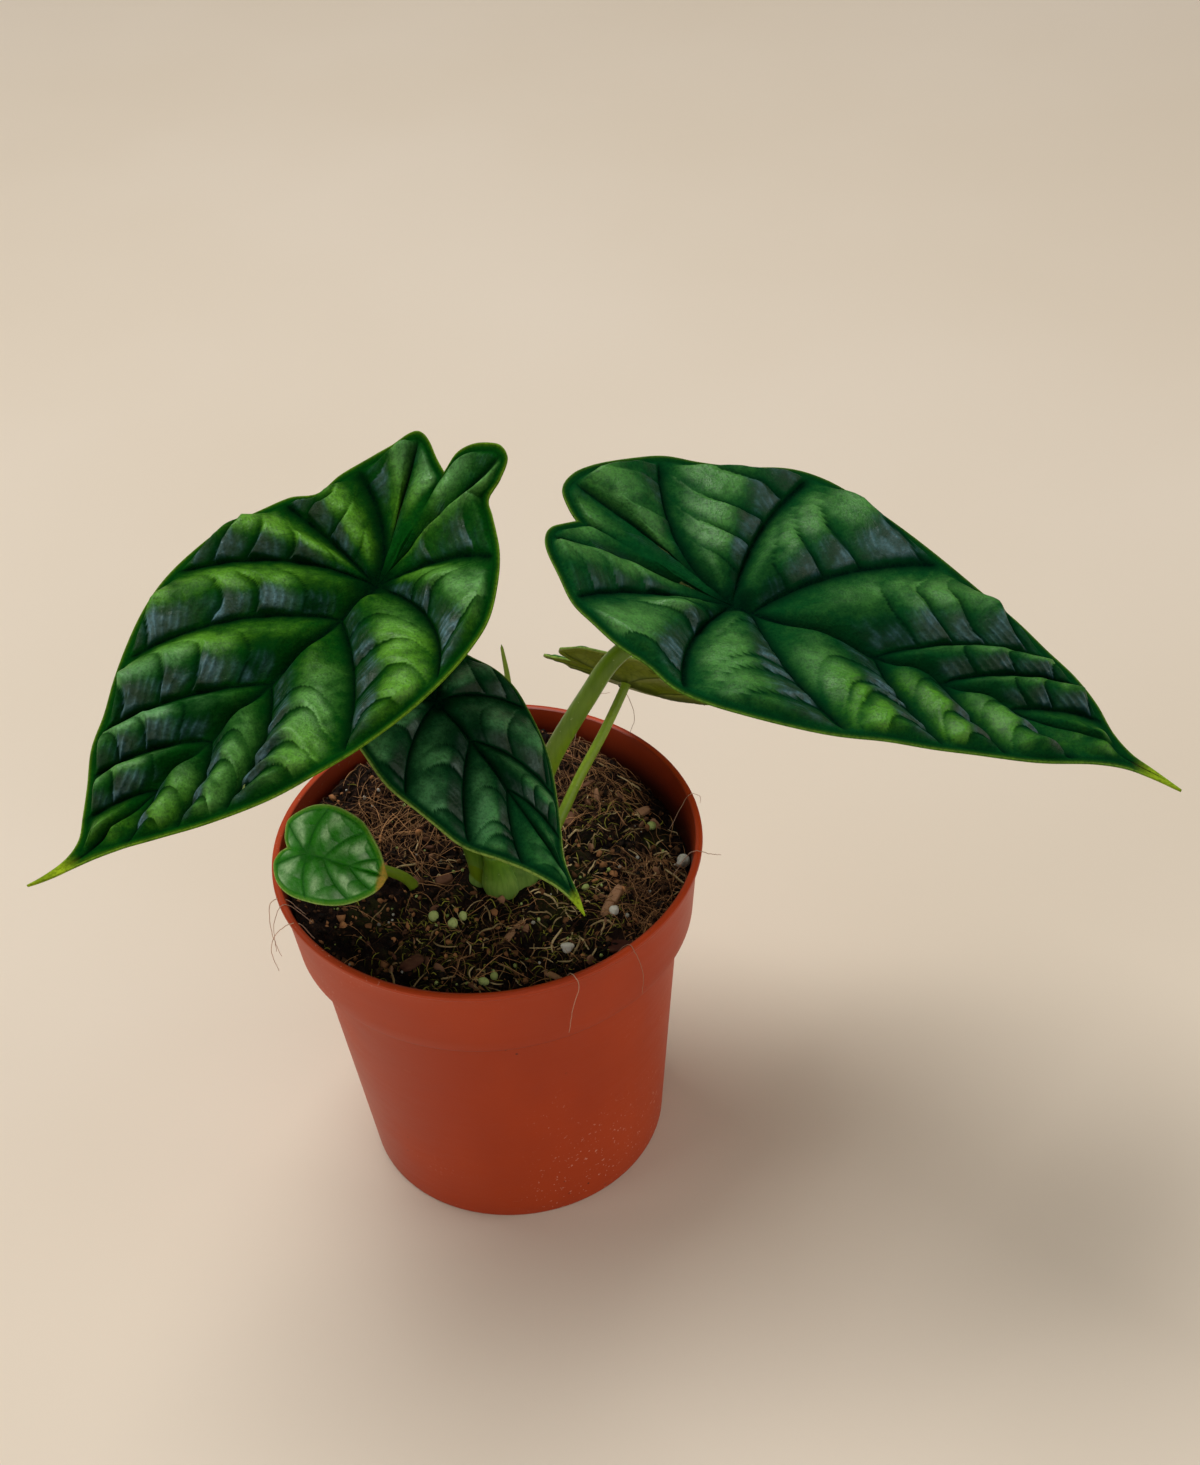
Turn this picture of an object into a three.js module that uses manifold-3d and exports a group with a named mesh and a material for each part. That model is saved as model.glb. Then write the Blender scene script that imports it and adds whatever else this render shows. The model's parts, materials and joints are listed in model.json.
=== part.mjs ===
// Potted dragon scale alocasia: a terracotta coloured nursery pot full of soil, the
// plant's crown and corm in it, five leaves on their stalks, and a new leaf that is
// still rolled up in its sheath. Millimetres, +Z up. The origin is the middle of the
// underside of the pot.

import * as THREE from 'three';
import { mergeVertices } from 'three/addons/utils/BufferGeometryUtils.js';
import Module from 'manifold-3d';

const wasm = await Module();
wasm.setup();

// Driving dimensions of the pot
const POT_HEIGHT = 110;
const RIM_RADIUS = 60;
const COLLAR_BOTTOM_Z = 85;
const COLLAR_RADIUS = 56.4;
const BODY_TOP_RADIUS = 52.4;
const BASE_RADIUS = 44;
const POT_WALL = 1.3;
const FLOOR_THICKNESS = 1.8;
const DRAIN_COUNT = 8;
const DRAIN_RADIUS = 3.2;
const DRAIN_CIRCLE = 29;

// Driving dimensions of the soil and the plant
const GAP = 0.3;
const SOIL_LEVEL = 100.5;
const BLADE_THICKNESS = 0.9;
const SHEATH_WALL = 0.9;
const CROWN_X = 4;
const CROWN_Y = -7.5;

// Helpers

function toSolid(geometry) {
  const bare = new THREE.BufferGeometry();
  bare.setAttribute('position', geometry.getAttribute('position').clone());
  if (geometry.index) bare.setIndex(geometry.index.clone());
  const merged = mergeVertices(bare, 1e-4);
  const index = merged.index.array;
  const triangles = [];
  for (let i = 0; i < index.length; i += 3) {
    const [a, b, c] = [index[i], index[i + 1], index[i + 2]];
    if (a !== b && b !== c && c !== a) triangles.push(a, b, c);
  }
  const mesh = new wasm.Mesh({
    numProp: 3,
    vertProperties: new Float32Array(merged.getAttribute('position').array),
    triVerts: new Uint32Array(triangles),
  });
  return new wasm.Manifold(mesh);
}

function fromSolid(solid) {
  const mesh = solid.getMesh();
  const geometry = new THREE.BufferGeometry();
  const positions = new Float32Array(mesh.vertProperties);
  geometry.setAttribute('position', new THREE.BufferAttribute(positions, 3));
  geometry.setIndex([...mesh.triVerts]);
  return geometry;
}

// A grid of points, row by row, closed into triangles; both diagonals run the same way
function gridTriangles(rows, columns, start, closed) {
  const out = [];
  const last = closed ? columns : columns - 1;
  for (let i = 0; i < rows - 1; i++) {
    for (let j = 0; j < last; j++) {
      const a = start + i * columns + j;
      const b = start + i * columns + ((j + 1) % columns);
      const c = a + columns;
      const d = b + columns;
      out.push(a, b, d, a, d, c);
    }
  }
  return out;
}

// A closed body turned round the Z axis from [radius, z] pairs that start and end on
// the axis, going out along the underside and back over the top
function turned(profile, segments, shape = (x, y, z) => [x, y, z]) {
  const points = [];
  for (const [radius, z] of profile) {
    for (let j = 0; j < segments; j++) {
      const angle = (2 * Math.PI * j) / segments;
      points.push(...shape(radius * Math.cos(angle), radius * Math.sin(angle), z));
    }
  }
  const geometry = new THREE.BufferGeometry();
  geometry.setAttribute('position', new THREE.Float32BufferAttribute(points, 3));
  geometry.setIndex(gridTriangles(profile.length, segments, 0, true));
  return geometry;
}

// A tapered stalk along a smooth line of [x, y, z, radius] points, with flat ends
function stalk(path, sides, steps, grow = 0) {
  const curve = new THREE.CatmullRomCurve3(
    path.map(([x, y, z]) => new THREE.Vector3(x, y, z)), false, 'centripetal');
  const frames = curve.computeFrenetFrames(steps, false);
  const points = [];
  const spread = (centre, radius, i) => {
    for (let j = 0; j < sides; j++) {
      const angle = (2 * Math.PI * j) / sides;
      const p = centre.clone()
        .addScaledVector(frames.normals[i], radius * Math.cos(angle))
        .addScaledVector(frames.binormals[i], radius * Math.sin(angle));
      points.push(p.x, p.y, p.z);
    }
  };
  const radiusAt = (s) => {
    const k = Math.min(path.length - 2, Math.floor(s * (path.length - 1)));
    const f = s * (path.length - 1) - k;
    return path[k][3] * (1 - f) + path[k + 1][3] * f;
  };
  const first = curve.getPoint(0).addScaledVector(frames.tangents[0], -grow);
  const final = curve.getPoint(1).addScaledVector(frames.tangents[steps], grow);
  spread(first, 0, 0);
  for (let i = 0; i <= steps; i++) {
    const s = i / steps;
    const centre = i === 0 ? first : i === steps ? final : curve.getPoint(s);
    spread(centre, radiusAt(s) + grow, i);
  }
  spread(final, 0, steps);
  const geometry = new THREE.BufferGeometry();
  geometry.setAttribute('position', new THREE.Float32BufferAttribute(points, 3));
  geometry.setIndex(gridTriangles(steps + 3, sides, 0, true));
  return geometry;
}

function smooth(a, b, x) {
  const t = Math.min(1, Math.max(0, (x - a) / (b - a)));
  return t * t * (3 - 2 * t);
}

function mix(a, b, t) {
  return a * (1 - t) + b * t;
}

// Leaf blades. Each blade is laid out flat, x along the midrib from the stalk to the
// tip and y across, then bent and placed. Each side has its outline from the notch
// between the rear lobes round to the tip, and the ends on it of the main veins: fan
// veins start at the stalk, ribs start on the midrib at the x given first. The third
// number of a vein end bows it toward the rear of the leaf.
const LEAVES = [
  {
    name: 'leaf_blade_left', stalkEnd: [-20, 0.5, 201.5],
    heading: 220.5, pitch: -12.5, roll: 0,
    fold: 0.09, cup: 0.0017, droop: 0, lift: 0.014, curl: -0.015, curlFrom: 95,
    notch: -31, tip: 115, relief: 1.9, wave: 0.35, rows: 4, across: 8,
    sides: [
      {
        edge: [[-31, 0], [-35, 1.8], [-37.5, 5.7], [-39, 11.4], [-39.2, 16], [-37.5, 19.3],
          [-33.4, 19.1], [-29.4, 17.6], [-26.7, 20.8], [-20, 28.6], [-12, 34.5], [-2, 40], [8, 42.5],
          [20, 43.5], [32, 43], [45, 40], [56, 35], [64, 31], [72, 26], [80, 20],
          [88, 12.5], [95, 6], [100, 3], [105, 1.6], [110, 0.9], [115, 0]],
        fan: [[-37.5, 17.5, 0.22], [-18.5, 30, 0.28], [20, 43.5, 0.3]],
        ribs: [[48, 39.3, 0.12], [76, 23, 0.2], [85, 15.5, 0.2], [94, 7, 0.15]],
      },
      {
        edge: [[-31, 0], [-33, 5.5], [-35.5, 10.5], [-33, 15], [-27, 22], [-19, 28.8],
          [-12, 31.6], [-7, 37.6], [2, 42.2], [11, 45], [22, 45.4], [33, 44.4],
          [43, 41.8], [52, 38], [61, 33], [70, 27], [79, 22], [87, 15], [94, 9], [99, 4.6],
          [104, 2.2], [110, 0.9], [115, 0]],
        fan: [[-35, 11, -0.1], [-22.5, 26, 0.22], [-5, 38.5, 0.06], [30, 43.4, 0.28]],
        ribs: [[57, 35.3, 0.26], [76, 23.6, 0.2], [86, 16, 0.2], [95, 8, 0.15]],
      },
    ],
    stations: [13, 38, 59, 77],
  },
  {
    name: 'leaf_blade_right', stalkEnd: [69.5, -12, 191],
    heading: -25.5, pitch: -13, roll: 0,
    fold: 0.22, cup: 0, droop: 0.0005, lift: 0.005, curl: -0.004, curlFrom: 95,
    notch: -44, tip: 121, relief: 1.9, wave: 0.35, rows: 4, across: 8,
    sides: [
      {
        edge: [[-44, 0], [-47, 1.8], [-50.5, 5.5], [-50, 11.5], [-46.5, 18], [-38, 28],
          [-31, 34.5], [-23, 38.5], [-11.5, 43.5], [-1, 48], [9, 49], [18, 47.5],
          [29, 43.5], [42.5, 38], [56, 32.5], [69, 27.3], [79.5, 21.5], [88, 17],
          [95, 12], [101, 6], [107, 2.4], [113, 1.2], [121, 0]],
        fan: [[-50.5, 9.5, -0.15], [-33, 33, 0.24], [6, 49, 0.17]],
        ribs: [[48, 35.8, 0.18], [84, 19.2, 0.2], [91, 15, 0.18], [99, 8, 0.15]],
      },
      {
        edge: [[-44, 0], [-45.5, 3], [-48, 9.5], [-48, 14.5], [-46, 19.5], [-40, 26.5],
          [-34, 33], [-27.5, 36], [-19, 40.3], [-11, 42.5], [-4, 46.5], [3, 48.2],
          [11, 48.6], [19, 47.6], [28, 45], [38, 41.3], [48, 36.5], [59.5, 32],
          [70, 26.3], [85, 18], [98.5, 8], [106.5, 3.6], [113, 1.8], [121, 0]],
        fan: [[-48, 14, 0.2], [-35, 32, 0.25], [0, 47.6, 0.2]],
        ribs: [[41, 40, 0.12], [63, 30.2, 0.12], [78, 22, 0.14], [94, 11.5, 0.15]],
      },
    ],
    stations: [5, 38, 56, 74],
  },
  {
    name: 'leaf_blade_front', stalkEnd: [-8, -23, 180.5],
    heading: -49, pitch: -30, roll: -2,
    fold: -0.2, cup: -0.0005, droop: 0.004, lift: 0.004, curl: 0, curlFrom: 50,
    notch: -13, tip: 64, relief: 1.1, wave: 0.4, rows: 3, across: 7,
    sides: [
      {
        edge: [[-13, 0], [-18, 2.5], [-23, 7], [-23, 12], [-16, 15.8], [-7, 18.5],
          [0, 22], [8, 23.3], [15, 22.3], [23, 19.5], [31, 15.8], [38, 11.5], [44, 7],
          [49, 3.6], [54, 1.9], [59, 1.2], [64, 0]],
        fan: [[-23, 9, 0.1], [-8, 18.2, 0.2], [15, 22.3, 0.22]],
        ribs: [[38, 11.5, 0.2], [47, 5, 0.15]],
      },
      {
        edge: [[-13, 0], [-18, 2.5], [-23, 7], [-24, 13], [-18, 19], [-9, 22.5],
          [0, 23.7], [9, 24.2], [17, 23], [25, 20.8], [33, 18], [41, 12.3], [48, 7],
          [54, 3.5], [59, 1.5], [64, 0]],
        fan: [[-24, 10, 0.1], [-10, 22.3, 0.2], [15, 23.3, 0.2]],
        ribs: [[34, 17.4, 0.15], [46, 8.5, 0.15]],
      },
    ],
    stations: [13, 28],
  },
  {
    name: 'leaf_blade_back', stalkEnd: [44.7, 26.8, 139.4],
    heading: -8, pitch: -31, roll: -48,
    fold: 0.08, cup: 0.002, droop: -0.006, lift: -0.0025, curl: 0, curlFrom: 50,
    notch: -17, tip: 61, relief: 0.9, wave: 0.2, rows: 3, across: 7,
    sides: [
      {
        edge: [[-17, 0], [-19.6, 2.4], [-21.8, 4.4], [-23, 7], [-22.7, 9.5], [-20.5, 12.4],
          [-17, 15.1], [-12, 18.4], [-2, 21.3], [8.5, 22.3], [19, 20.4], [31, 16.5],
          [42, 11], [50, 6.3], [56, 2.7], [61, 0]],
        fan: [[-23, 8, 0.1], [-14, 17.3, 0.2], [8, 22.3, 0.2]],
        ribs: [[30, 16.9, 0.18], [43, 10.4, 0.18], [52, 5, 0.15]],
      },
      {
        edge: [[-17, 0], [-19.8, 2.4], [-22.6, 4.9], [-23.7, 7.8], [-23.3, 10.2], [-21.2, 13.1],
          [-17.7, 15.5], [-12, 18.4], [-2, 21.3], [8.5, 22.3], [19, 20.4], [31, 16.5],
          [42, 11], [50, 6.3], [56, 2.7], [61, 0]],
        fan: [[-23.7, 8.6, 0.1], [-14, 17.4, 0.2], [8, 22.3, 0.2]],
        ribs: [[30, 16.9, 0.18], [43, 10.4, 0.18], [52, 5, 0.15]],
      },
    ],
    stations: [9, 24, 38],
  },
  {
    name: 'leaf_blade_young', stalkEnd: [-48, -15.5, 127.5],
    heading: -36, pitch: 4, roll: 45,
    fold: -0.04, cup: 0, droop: 0.003, lift: 0, curl: 0, curlFrom: 20,
    notch: -7, tip: 24.5, relief: 0.6, wave: 0.3, rows: 3, across: 6,
    sides: [
      {
        edge: [[-7, 0], [-8.8, 3], [-9, 7], [-5, 11.5], [1, 14], [7, 14], [13, 12.3],
          [18, 8.5], [21.5, 4.6], [24.5, 0]],
        fan: [[-9, 7, 0.1], [3, 14, 0.2]],
        ribs: [[16, 10.3, 0.15], [21.8, 4.2, 0.1]],
      },
      {
        edge: [[-7, 0], [-9, 2], [-9.8, 5], [-8.3, 9], [-3, 12], [4, 12.4], [11, 11.5],
          [17, 9], [21, 6], [23.5, 3], [24.5, 0]],
        fan: [[-9.6, 6, 0.1], [3, 12.4, 0.2]],
        ribs: [[16.5, 9.3, 0.15], [22, 5, 0.1]],
      },
    ],
    stations: [5, 13],
  },
];

// The blade's own axes: along the midrib, across it, and up out of the upper face
function bladeAxes(leaf) {
  const heading = THREE.MathUtils.degToRad(leaf.heading);
  const pitch = THREE.MathUtils.degToRad(leaf.pitch);
  const roll = THREE.MathUtils.degToRad(leaf.roll);
  const along = new THREE.Vector3(
    Math.cos(heading) * Math.cos(pitch), Math.sin(heading) * Math.cos(pitch),
    Math.sin(pitch));
  const level = new THREE.Vector3(-Math.sin(heading), Math.cos(heading), 0);
  const above = along.clone().cross(level);
  const across = level.multiplyScalar(Math.cos(roll))
    .addScaledVector(above, Math.sin(roll));
  return { along, across, up: along.clone().cross(across) };
}

// Height of the bent sheet over the blade's flat plane
function sheetHeight(leaf, x, y) {
  const folded = leaf.fold * (Math.sqrt(y * y + 9) - 3) + leaf.cup * y * y;
  const front = Math.max(0, x);
  const rear = Math.min(0, x);
  return folded - leaf.droop * front * front + leaf.lift * rear * rear;
}

// A leaf side's outline as a smooth curve, and the place on it nearest to a vein's end
function sideOutline(side) {
  const curve = new THREE.CatmullRomCurve3(
    side.edge.map(([x, y]) => new THREE.Vector3(x, y, 0)), false, 'centripetal');
  const at = (s) => {
    const p = curve.getPoint(Math.min(1, Math.max(0, s)));
    return [p.x, p.y];
  };
  const nearest = (x, y) => {
    let best = 0;
    let least = Infinity;
    for (let i = 0; i <= 800; i++) {
      const [px, py] = at(i / 800);
      const distance = Math.hypot(px - x, py - y);
      if (distance < least) [best, least] = [i / 800, distance];
    }
    return best;
  };
  return { at, nearest };
}

// Every row of a leaf side, from the notch to the tip: where it starts on the midline,
// where it ends on the outline, its bow, and its place between two veins
function sideRows(leaf, side, steps) {
  const outline = sideOutline(side);
  const veins = [{ x: leaf.notch, s: 0, bow: 0 }];
  for (const [x, y, bow] of side.fan) veins.push({ x: 0, s: outline.nearest(x, y), bow });
  side.ribs.forEach(([x, y, bow], i) => {
    veins.push({ x: leaf.stations[i], s: outline.nearest(x, y), bow });
  });
  veins.push({ x: leaf.tip, s: 1, bow: 0 });
  const rows = [];
  for (let k = 0; k < veins.length - 1; k++) {
    const [from, to] = [veins[k], veins[k + 1]];
    const count = steps(k, veins.length - 1);
    for (let i = 0; i < count; i++) {
      const u = i / count;
      rows.push({
        x: mix(from.x, to.x, u), s: mix(from.s, to.s, u),
        bow: mix(from.bow, to.bow, u), u, from, to,
      });
    }
  }
  rows.push({ x: leaf.tip, s: 1, bow: 0, u: 0, from: veins.at(-1), to: veins.at(-1) });
  return { rows, outline };
}

// A point of a row, t = 0 on the midline and 1 on the outline
function rowPoint(row, outline, t) {
  const [ex, ey] = outline.at(row.s);
  const [dx, dy] = [ex - row.x, ey];
  const cx = row.x + dx / 2 - row.bow * dy;
  const cy = dy / 2 + row.bow * dx;
  const [a, b, c] = [(1 - t) * (1 - t), 2 * t * (1 - t), t * t];
  return [a * row.x + b * cx + c * ex, Math.max(0, b * cy + c * ey)];
}

// The quilted relief: pillows between sunken veins, with a flat band along the margin
function quilt(leaf, row, outline, t) {
  const [ax, ay] = rowPoint(row.from, outline, t);
  const [bx, by] = rowPoint(row.to, outline, t);
  const width = Math.hypot(bx - ax, by - ay);
  const pillow = Math.pow(Math.sin(Math.PI * row.u), 0.7);
  const along = smooth(0, 0.14, t) * (1 - smooth(0.8, 0.93, t));
  const ripple = 1 - 0.3 * Math.pow(Math.sin(Math.PI * 3 * t), 2);
  return leaf.relief * Math.min(1, width / 11) * pillow * along * ripple;
}

function blade(leaf) {
  const { along, across, up } = bladeAxes(leaf);
  const base = new THREE.Vector3(...leaf.stalkEnd);
  const cells = [0];
  for (let j = 1; j < leaf.across; j++) cells.push(j / leaf.across * 0.98 - 0.01);
  cells.push(1);
  const place = (x, y, height) => {
    const bend = leaf.curl * Math.max(0, x - leaf.curlFrom) ** 2;
    const across2 = y + bend;
    const z = sheetHeight(leaf, x, y) + height;
    return base.clone().addScaledVector(along, x).addScaledVector(across, across2)
      .addScaledVector(up, z);
  };
  const points = [];
  const triangles = [];
  leaf.sides.forEach((side, which) => {
    const sign = which === 0 ? 1 : -1;
    const steps = (k, total) => (k === total - 1 ? leaf.rows + 2 : leaf.rows);
    const { rows, outline } = sideRows(leaf, side, steps);
    const start = points.length / 3;
    const columns = cells.length;
    for (const face of [0, 1]) {
      rows.forEach((row, i) => {
        const end = i === 0 || i === rows.length - 1;
        for (const t of cells) {
          const [x, y] = end ? [row.x, 0] : rowPoint(row, outline, t);
          const wave = leaf.wave * t ** 3 * Math.sin(Math.PI * row.s)
            * Math.sin(2 * Math.PI * (5.5 * row.s + 0.2 * which));
          const height = end ? 0 : quilt(leaf, row, outline, t) + wave;
          const p = place(x, sign * y, height - face * BLADE_THICKNESS);
          points.push(p.x, p.y, p.z);
        }
      });
    }
    const size = rows.length * columns;
    const upper = gridTriangles(rows.length, columns, start, false);
    for (let i = 0; i < upper.length; i += 3) {
      const [a, b, c] = [upper[i], upper[i + 1], upper[i + 2]];
      if (sign > 0) {
        triangles.push(a, c, b, a + size, b + size, c + size);
      } else {
        triangles.push(a, b, c, a + size, c + size, b + size);
      }
    }
    for (let i = 0; i < rows.length - 1; i++) {
      const a = start + i * columns + columns - 1;
      const b = a + columns;
      if (sign > 0) {
        triangles.push(a, b, b + size, a, b + size, a + size);
      } else {
        triangles.push(a, a + size, b + size, a, b + size, b);
      }
    }
  });
  const geometry = new THREE.BufferGeometry();
  geometry.setAttribute('position', new THREE.Float32BufferAttribute(points, 3));
  geometry.setIndex(triangles);
  return fromSolid(toSolid(geometry));
}

// Where a stalk ends: just under the blade, and square to it over its last few mm
function underBlade(leaf, radius, reach) {
  const { up } = bladeAxes(leaf);
  return [reach, 0].map((below) => {
    const p = new THREE.Vector3(...leaf.stalkEnd)
      .addScaledVector(up, -BLADE_THICKNESS - GAP - 0.1 - below);
    return [p.x, p.y, p.z, radius];
  });
}

// Stalks as [x, y, z, radius] points from the crown up to the blade
const STALKS = {
  leaf_stalk_left: [[-2.5, -7.5, 104, 3.2], [-4.5, -7.5, 124, 2.9],
    [-10, -5, 158, 2.6], [-16.5, -1, 187, 2.3], ...underBlade(LEAVES[0], 2.3, 4.5)],
  leaf_stalk_right: [[8.5, -7, 104, 3.2], [12.5, -6.5, 123, 3.0],
    [19.4, -6.7, 142, 2.8], [30.6, -8.2, 163.3, 2.6], [39.2, -10, 177.5, 2.45],
    [52, -11.5, 186.6, 2.3], [65.5, -12, 188.75, 2.1]],
  leaf_stalk_front: [[2.5, -13, 104, 2.5], [0.5, -14.5, 125, 2.2],
    [-3.5, -18, 151, 1.9], ...underBlade(LEAVES[2], 1.7, 4)],
  leaf_stalk_back: [[13.5, -4, 103, 1.8], [21.5, 4.4, 111.5, 1.5],
    [27.9, 10.6, 119.5, 1.4], [36.1, 17.7, 128.6, 1.35], ...underBlade(LEAVES[3], 1.3, 1.6)],
  leaf_stalk_young: [[-19.5, -4.2, 94, 1.7], [-23.5, -6, 105, 1.5],
    [-32, -8.5, 113.5, 1.4], [-42, -10.5, 121, 1.3], ...underBlade(LEAVES[4], 1.2, 3)],
  rolled_leaf: [[6, 0.5, 104, 2.3], [9.5, 0.2, 135, 1.6], [10.7, 0.8, 163, 0.8],
    [10.1, 1.6, 176.5, 0.35]],
};

// Height of the soil: clods, a hollow by the pot wall on the right, and small lumps
// where the fertiliser grains and the perlite lie
const GRAINS = [[-17, -19, 1.5], [-12, -22, 1.5], [-9, -20, 1.3], [-5.5, -46, 1.4],
  [-2.5, -44, 1.2], [25.5, -14, 1.1], [54, -4.5, 1.9], [18, -36.5, 1.7],
  [32, -26.5, 1.5], [47, 9, 1.4]];

function soilHeight(x, y) {
  const clods = 1.1 * Math.sin(0.21 * x + 1.3) * Math.cos(0.19 * y - 0.4)
    + 0.8 * Math.sin(0.47 * x - 0.33 * y + 2.1) + 0.55 * Math.cos(0.71 * y + 0.52 * x)
    + 0.35 * Math.sin(1.13 * x + 0.4) * Math.sin(1.05 * y + 1.9);
  const reach = Math.hypot(x, y);
  const turn = Math.atan2(y, x);
  const hollow = 5 * smooth(40, 54, reach) * Math.max(0, Math.cos(turn - 0.25)) ** 3;
  const wall = 1.5 * smooth(50, 56, reach);
  let grains = 0;
  for (const [gx, gy, size] of GRAINS) {
    const near = ((x - gx) ** 2 + (y - gy) ** 2) / (size * size);
    grains += 0.9 * size * Math.exp(-near);
  }
  return SOIL_LEVEL + 0.8 * clods - hollow - wall + grains;
}

// Pot: a thin tapered body with a wider collar, a rolled lip and a drained base
function makePot() {
  const inner = (r) => r - POT_WALL;
  const profile = [
    [0, 0], [18, 0], [19, 1.4], [39.5, 1.4], [40.5, 0], [BASE_RADIUS - 0.8, 0],
    [BASE_RADIUS, 0.9], [BODY_TOP_RADIUS, COLLAR_BOTTOM_Z - 1.2],
    [COLLAR_RADIUS - 0.7, COLLAR_BOTTOM_Z - 0.2], [COLLAR_RADIUS, COLLAR_BOTTOM_Z + 0.6],
    [RIM_RADIUS - 1.1, POT_HEIGHT - 2.3], [RIM_RADIUS - 0.2, POT_HEIGHT - 1.7],
    [RIM_RADIUS, POT_HEIGHT - 0.9], [RIM_RADIUS - 0.5, POT_HEIGHT - 0.1],
    [RIM_RADIUS - 1.3, POT_HEIGHT], [RIM_RADIUS - 2.1, POT_HEIGHT - 0.5],
    [inner(RIM_RADIUS - 1.1), POT_HEIGHT - 2.3],
    [inner(COLLAR_RADIUS), COLLAR_BOTTOM_Z + 2],
    [inner(BODY_TOP_RADIUS), COLLAR_BOTTOM_Z - 0.4],
    [inner(BASE_RADIUS) + 0.1, FLOOR_THICKNESS + 2.2],
    [inner(BASE_RADIUS) - 1.4, FLOOR_THICKNESS + 1.2],
    [39, 1.4 + FLOOR_THICKNESS], [0, 1.4 + FLOOR_THICKNESS],
  ];
  let pot = toSolid(turned(profile, 48));
  for (let i = 0; i < DRAIN_COUNT; i++) {
    const angle = (2 * Math.PI * (i + 0.5)) / DRAIN_COUNT;
    const hole = new THREE.CylinderGeometry(DRAIN_RADIUS, DRAIN_RADIUS, 12, 16);
    hole.rotateX(Math.PI / 2);
    hole.translate(DRAIN_CIRCLE * Math.cos(angle), DRAIN_CIRCLE * Math.sin(angle), 2);
    pot = pot.subtract(toSolid(hole));
  }
  return fromSolid(pot);
}

// Crown and corm: one body, a tuber in the soil that carries the leaf sheaths
function crownCore(grow) {
  const profile = [[0, 72 - grow], [4, 73 - grow], [8 + grow, 77], [10.5 + grow, 84],
    [10.2 + grow, 92], [9 + grow, 98], [8.6 + grow, 103], [7 + grow, 107],
    [3, 109 + grow], [0, 109.4 + grow]];
  return toSolid(turned(profile, 20, (x, y, z) => {
    const turn = Math.atan2(y, x);
    const lobes = 1 + 0.05 * Math.cos(3 * turn + 0.8);
    return [CROWN_X + 1.12 * x * lobes, CROWN_Y + 0.92 * y * lobes, z];
  }));
}

// The lower part of a stalk's path, where its sheath wraps it
function sheathPath(path, foot, length, wall) {
  const curve = new THREE.CatmullRomCurve3(
    path.map(([x, y, z]) => new THREE.Vector3(x, y, z)), false, 'centripetal');
  const total = curve.getLength();
  const [x, y, , r] = path[0];
  const out = [[x + (CROWN_X - x) * 0.15, y + (CROWN_Y - y) * 0.15, foot, r + wall + 0.8]];
  for (const part of [0.15, 0.6, 1]) {
    const p = curve.getPointAt((part * length) / total);
    out.push([p.x, p.y, p.z, mix(r + wall + 0.7, r + wall - 0.25, part)]);
  }
  return out;
}

const SHEATHS = [['leaf_stalk_left', 13], ['leaf_stalk_right', 17],
  ['leaf_stalk_front', 11], ['leaf_stalk_back', 6], ['rolled_leaf', 9]];

function crownSolid(grow) {
  let crown = crownCore(grow);
  for (const [name, length] of SHEATHS) {
    const path = sheathPath(STALKS[name], 96, length, SHEATH_WALL);
    crown = crown.add(toSolid(stalk(path, 9, 4, grow)));
  }
  return crown;
}

function makeCrown() {
  let crown = crownSolid(0);
  for (const [name] of SHEATHS) {
    crown = crown.subtract(toSolid(stalk(STALKS[name], 12, 12, GAP)));
  }
  return fromSolid(crown);
}

// Two loose pieces of bark and wood, lying half sunk in the soil
const CHIPS = [
  { name: 'bark_chip', at: [-13.2, -3.6], size: [5.2, 3.4, 1.8], turn: 15 },
  { name: 'wood_flake', at: [44, 14.5], size: [8, 3, 1.6], turn: 28 },
];

function chip(spec, grow) {
  const [sx, sy, sz] = spec.size;
  const geometry = new THREE.IcosahedronGeometry(1, 1);
  geometry.deleteAttribute('uv');
  geometry.deleteAttribute('normal');
  const body = mergeVertices(geometry, 1e-4);
  const position = body.getAttribute('position');
  for (let i = 0; i < position.count; i++) {
    const p = new THREE.Vector3().fromBufferAttribute(position, i);
    const rough = 1 + 0.16 * Math.sin(5 * p.x + 3 * p.y + sx) * Math.cos(4 * p.z + p.y);
    const box = 1 / Math.pow(p.x ** 4 + p.y ** 4 + p.z ** 4, 0.25);
    p.multiplyScalar(rough * mix(1, box, 0.6));
    position.setXYZ(i, p.x * (sx / 2 + grow), p.y * (sy / 2 + grow),
      p.z * (sz / 2 + grow));
  }
  body.rotateZ(THREE.MathUtils.degToRad(spec.turn));
  const [x, y] = spec.at;
  body.translate(x, y, soilHeight(x, y) + sz * 0.2);
  return body;
}

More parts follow.
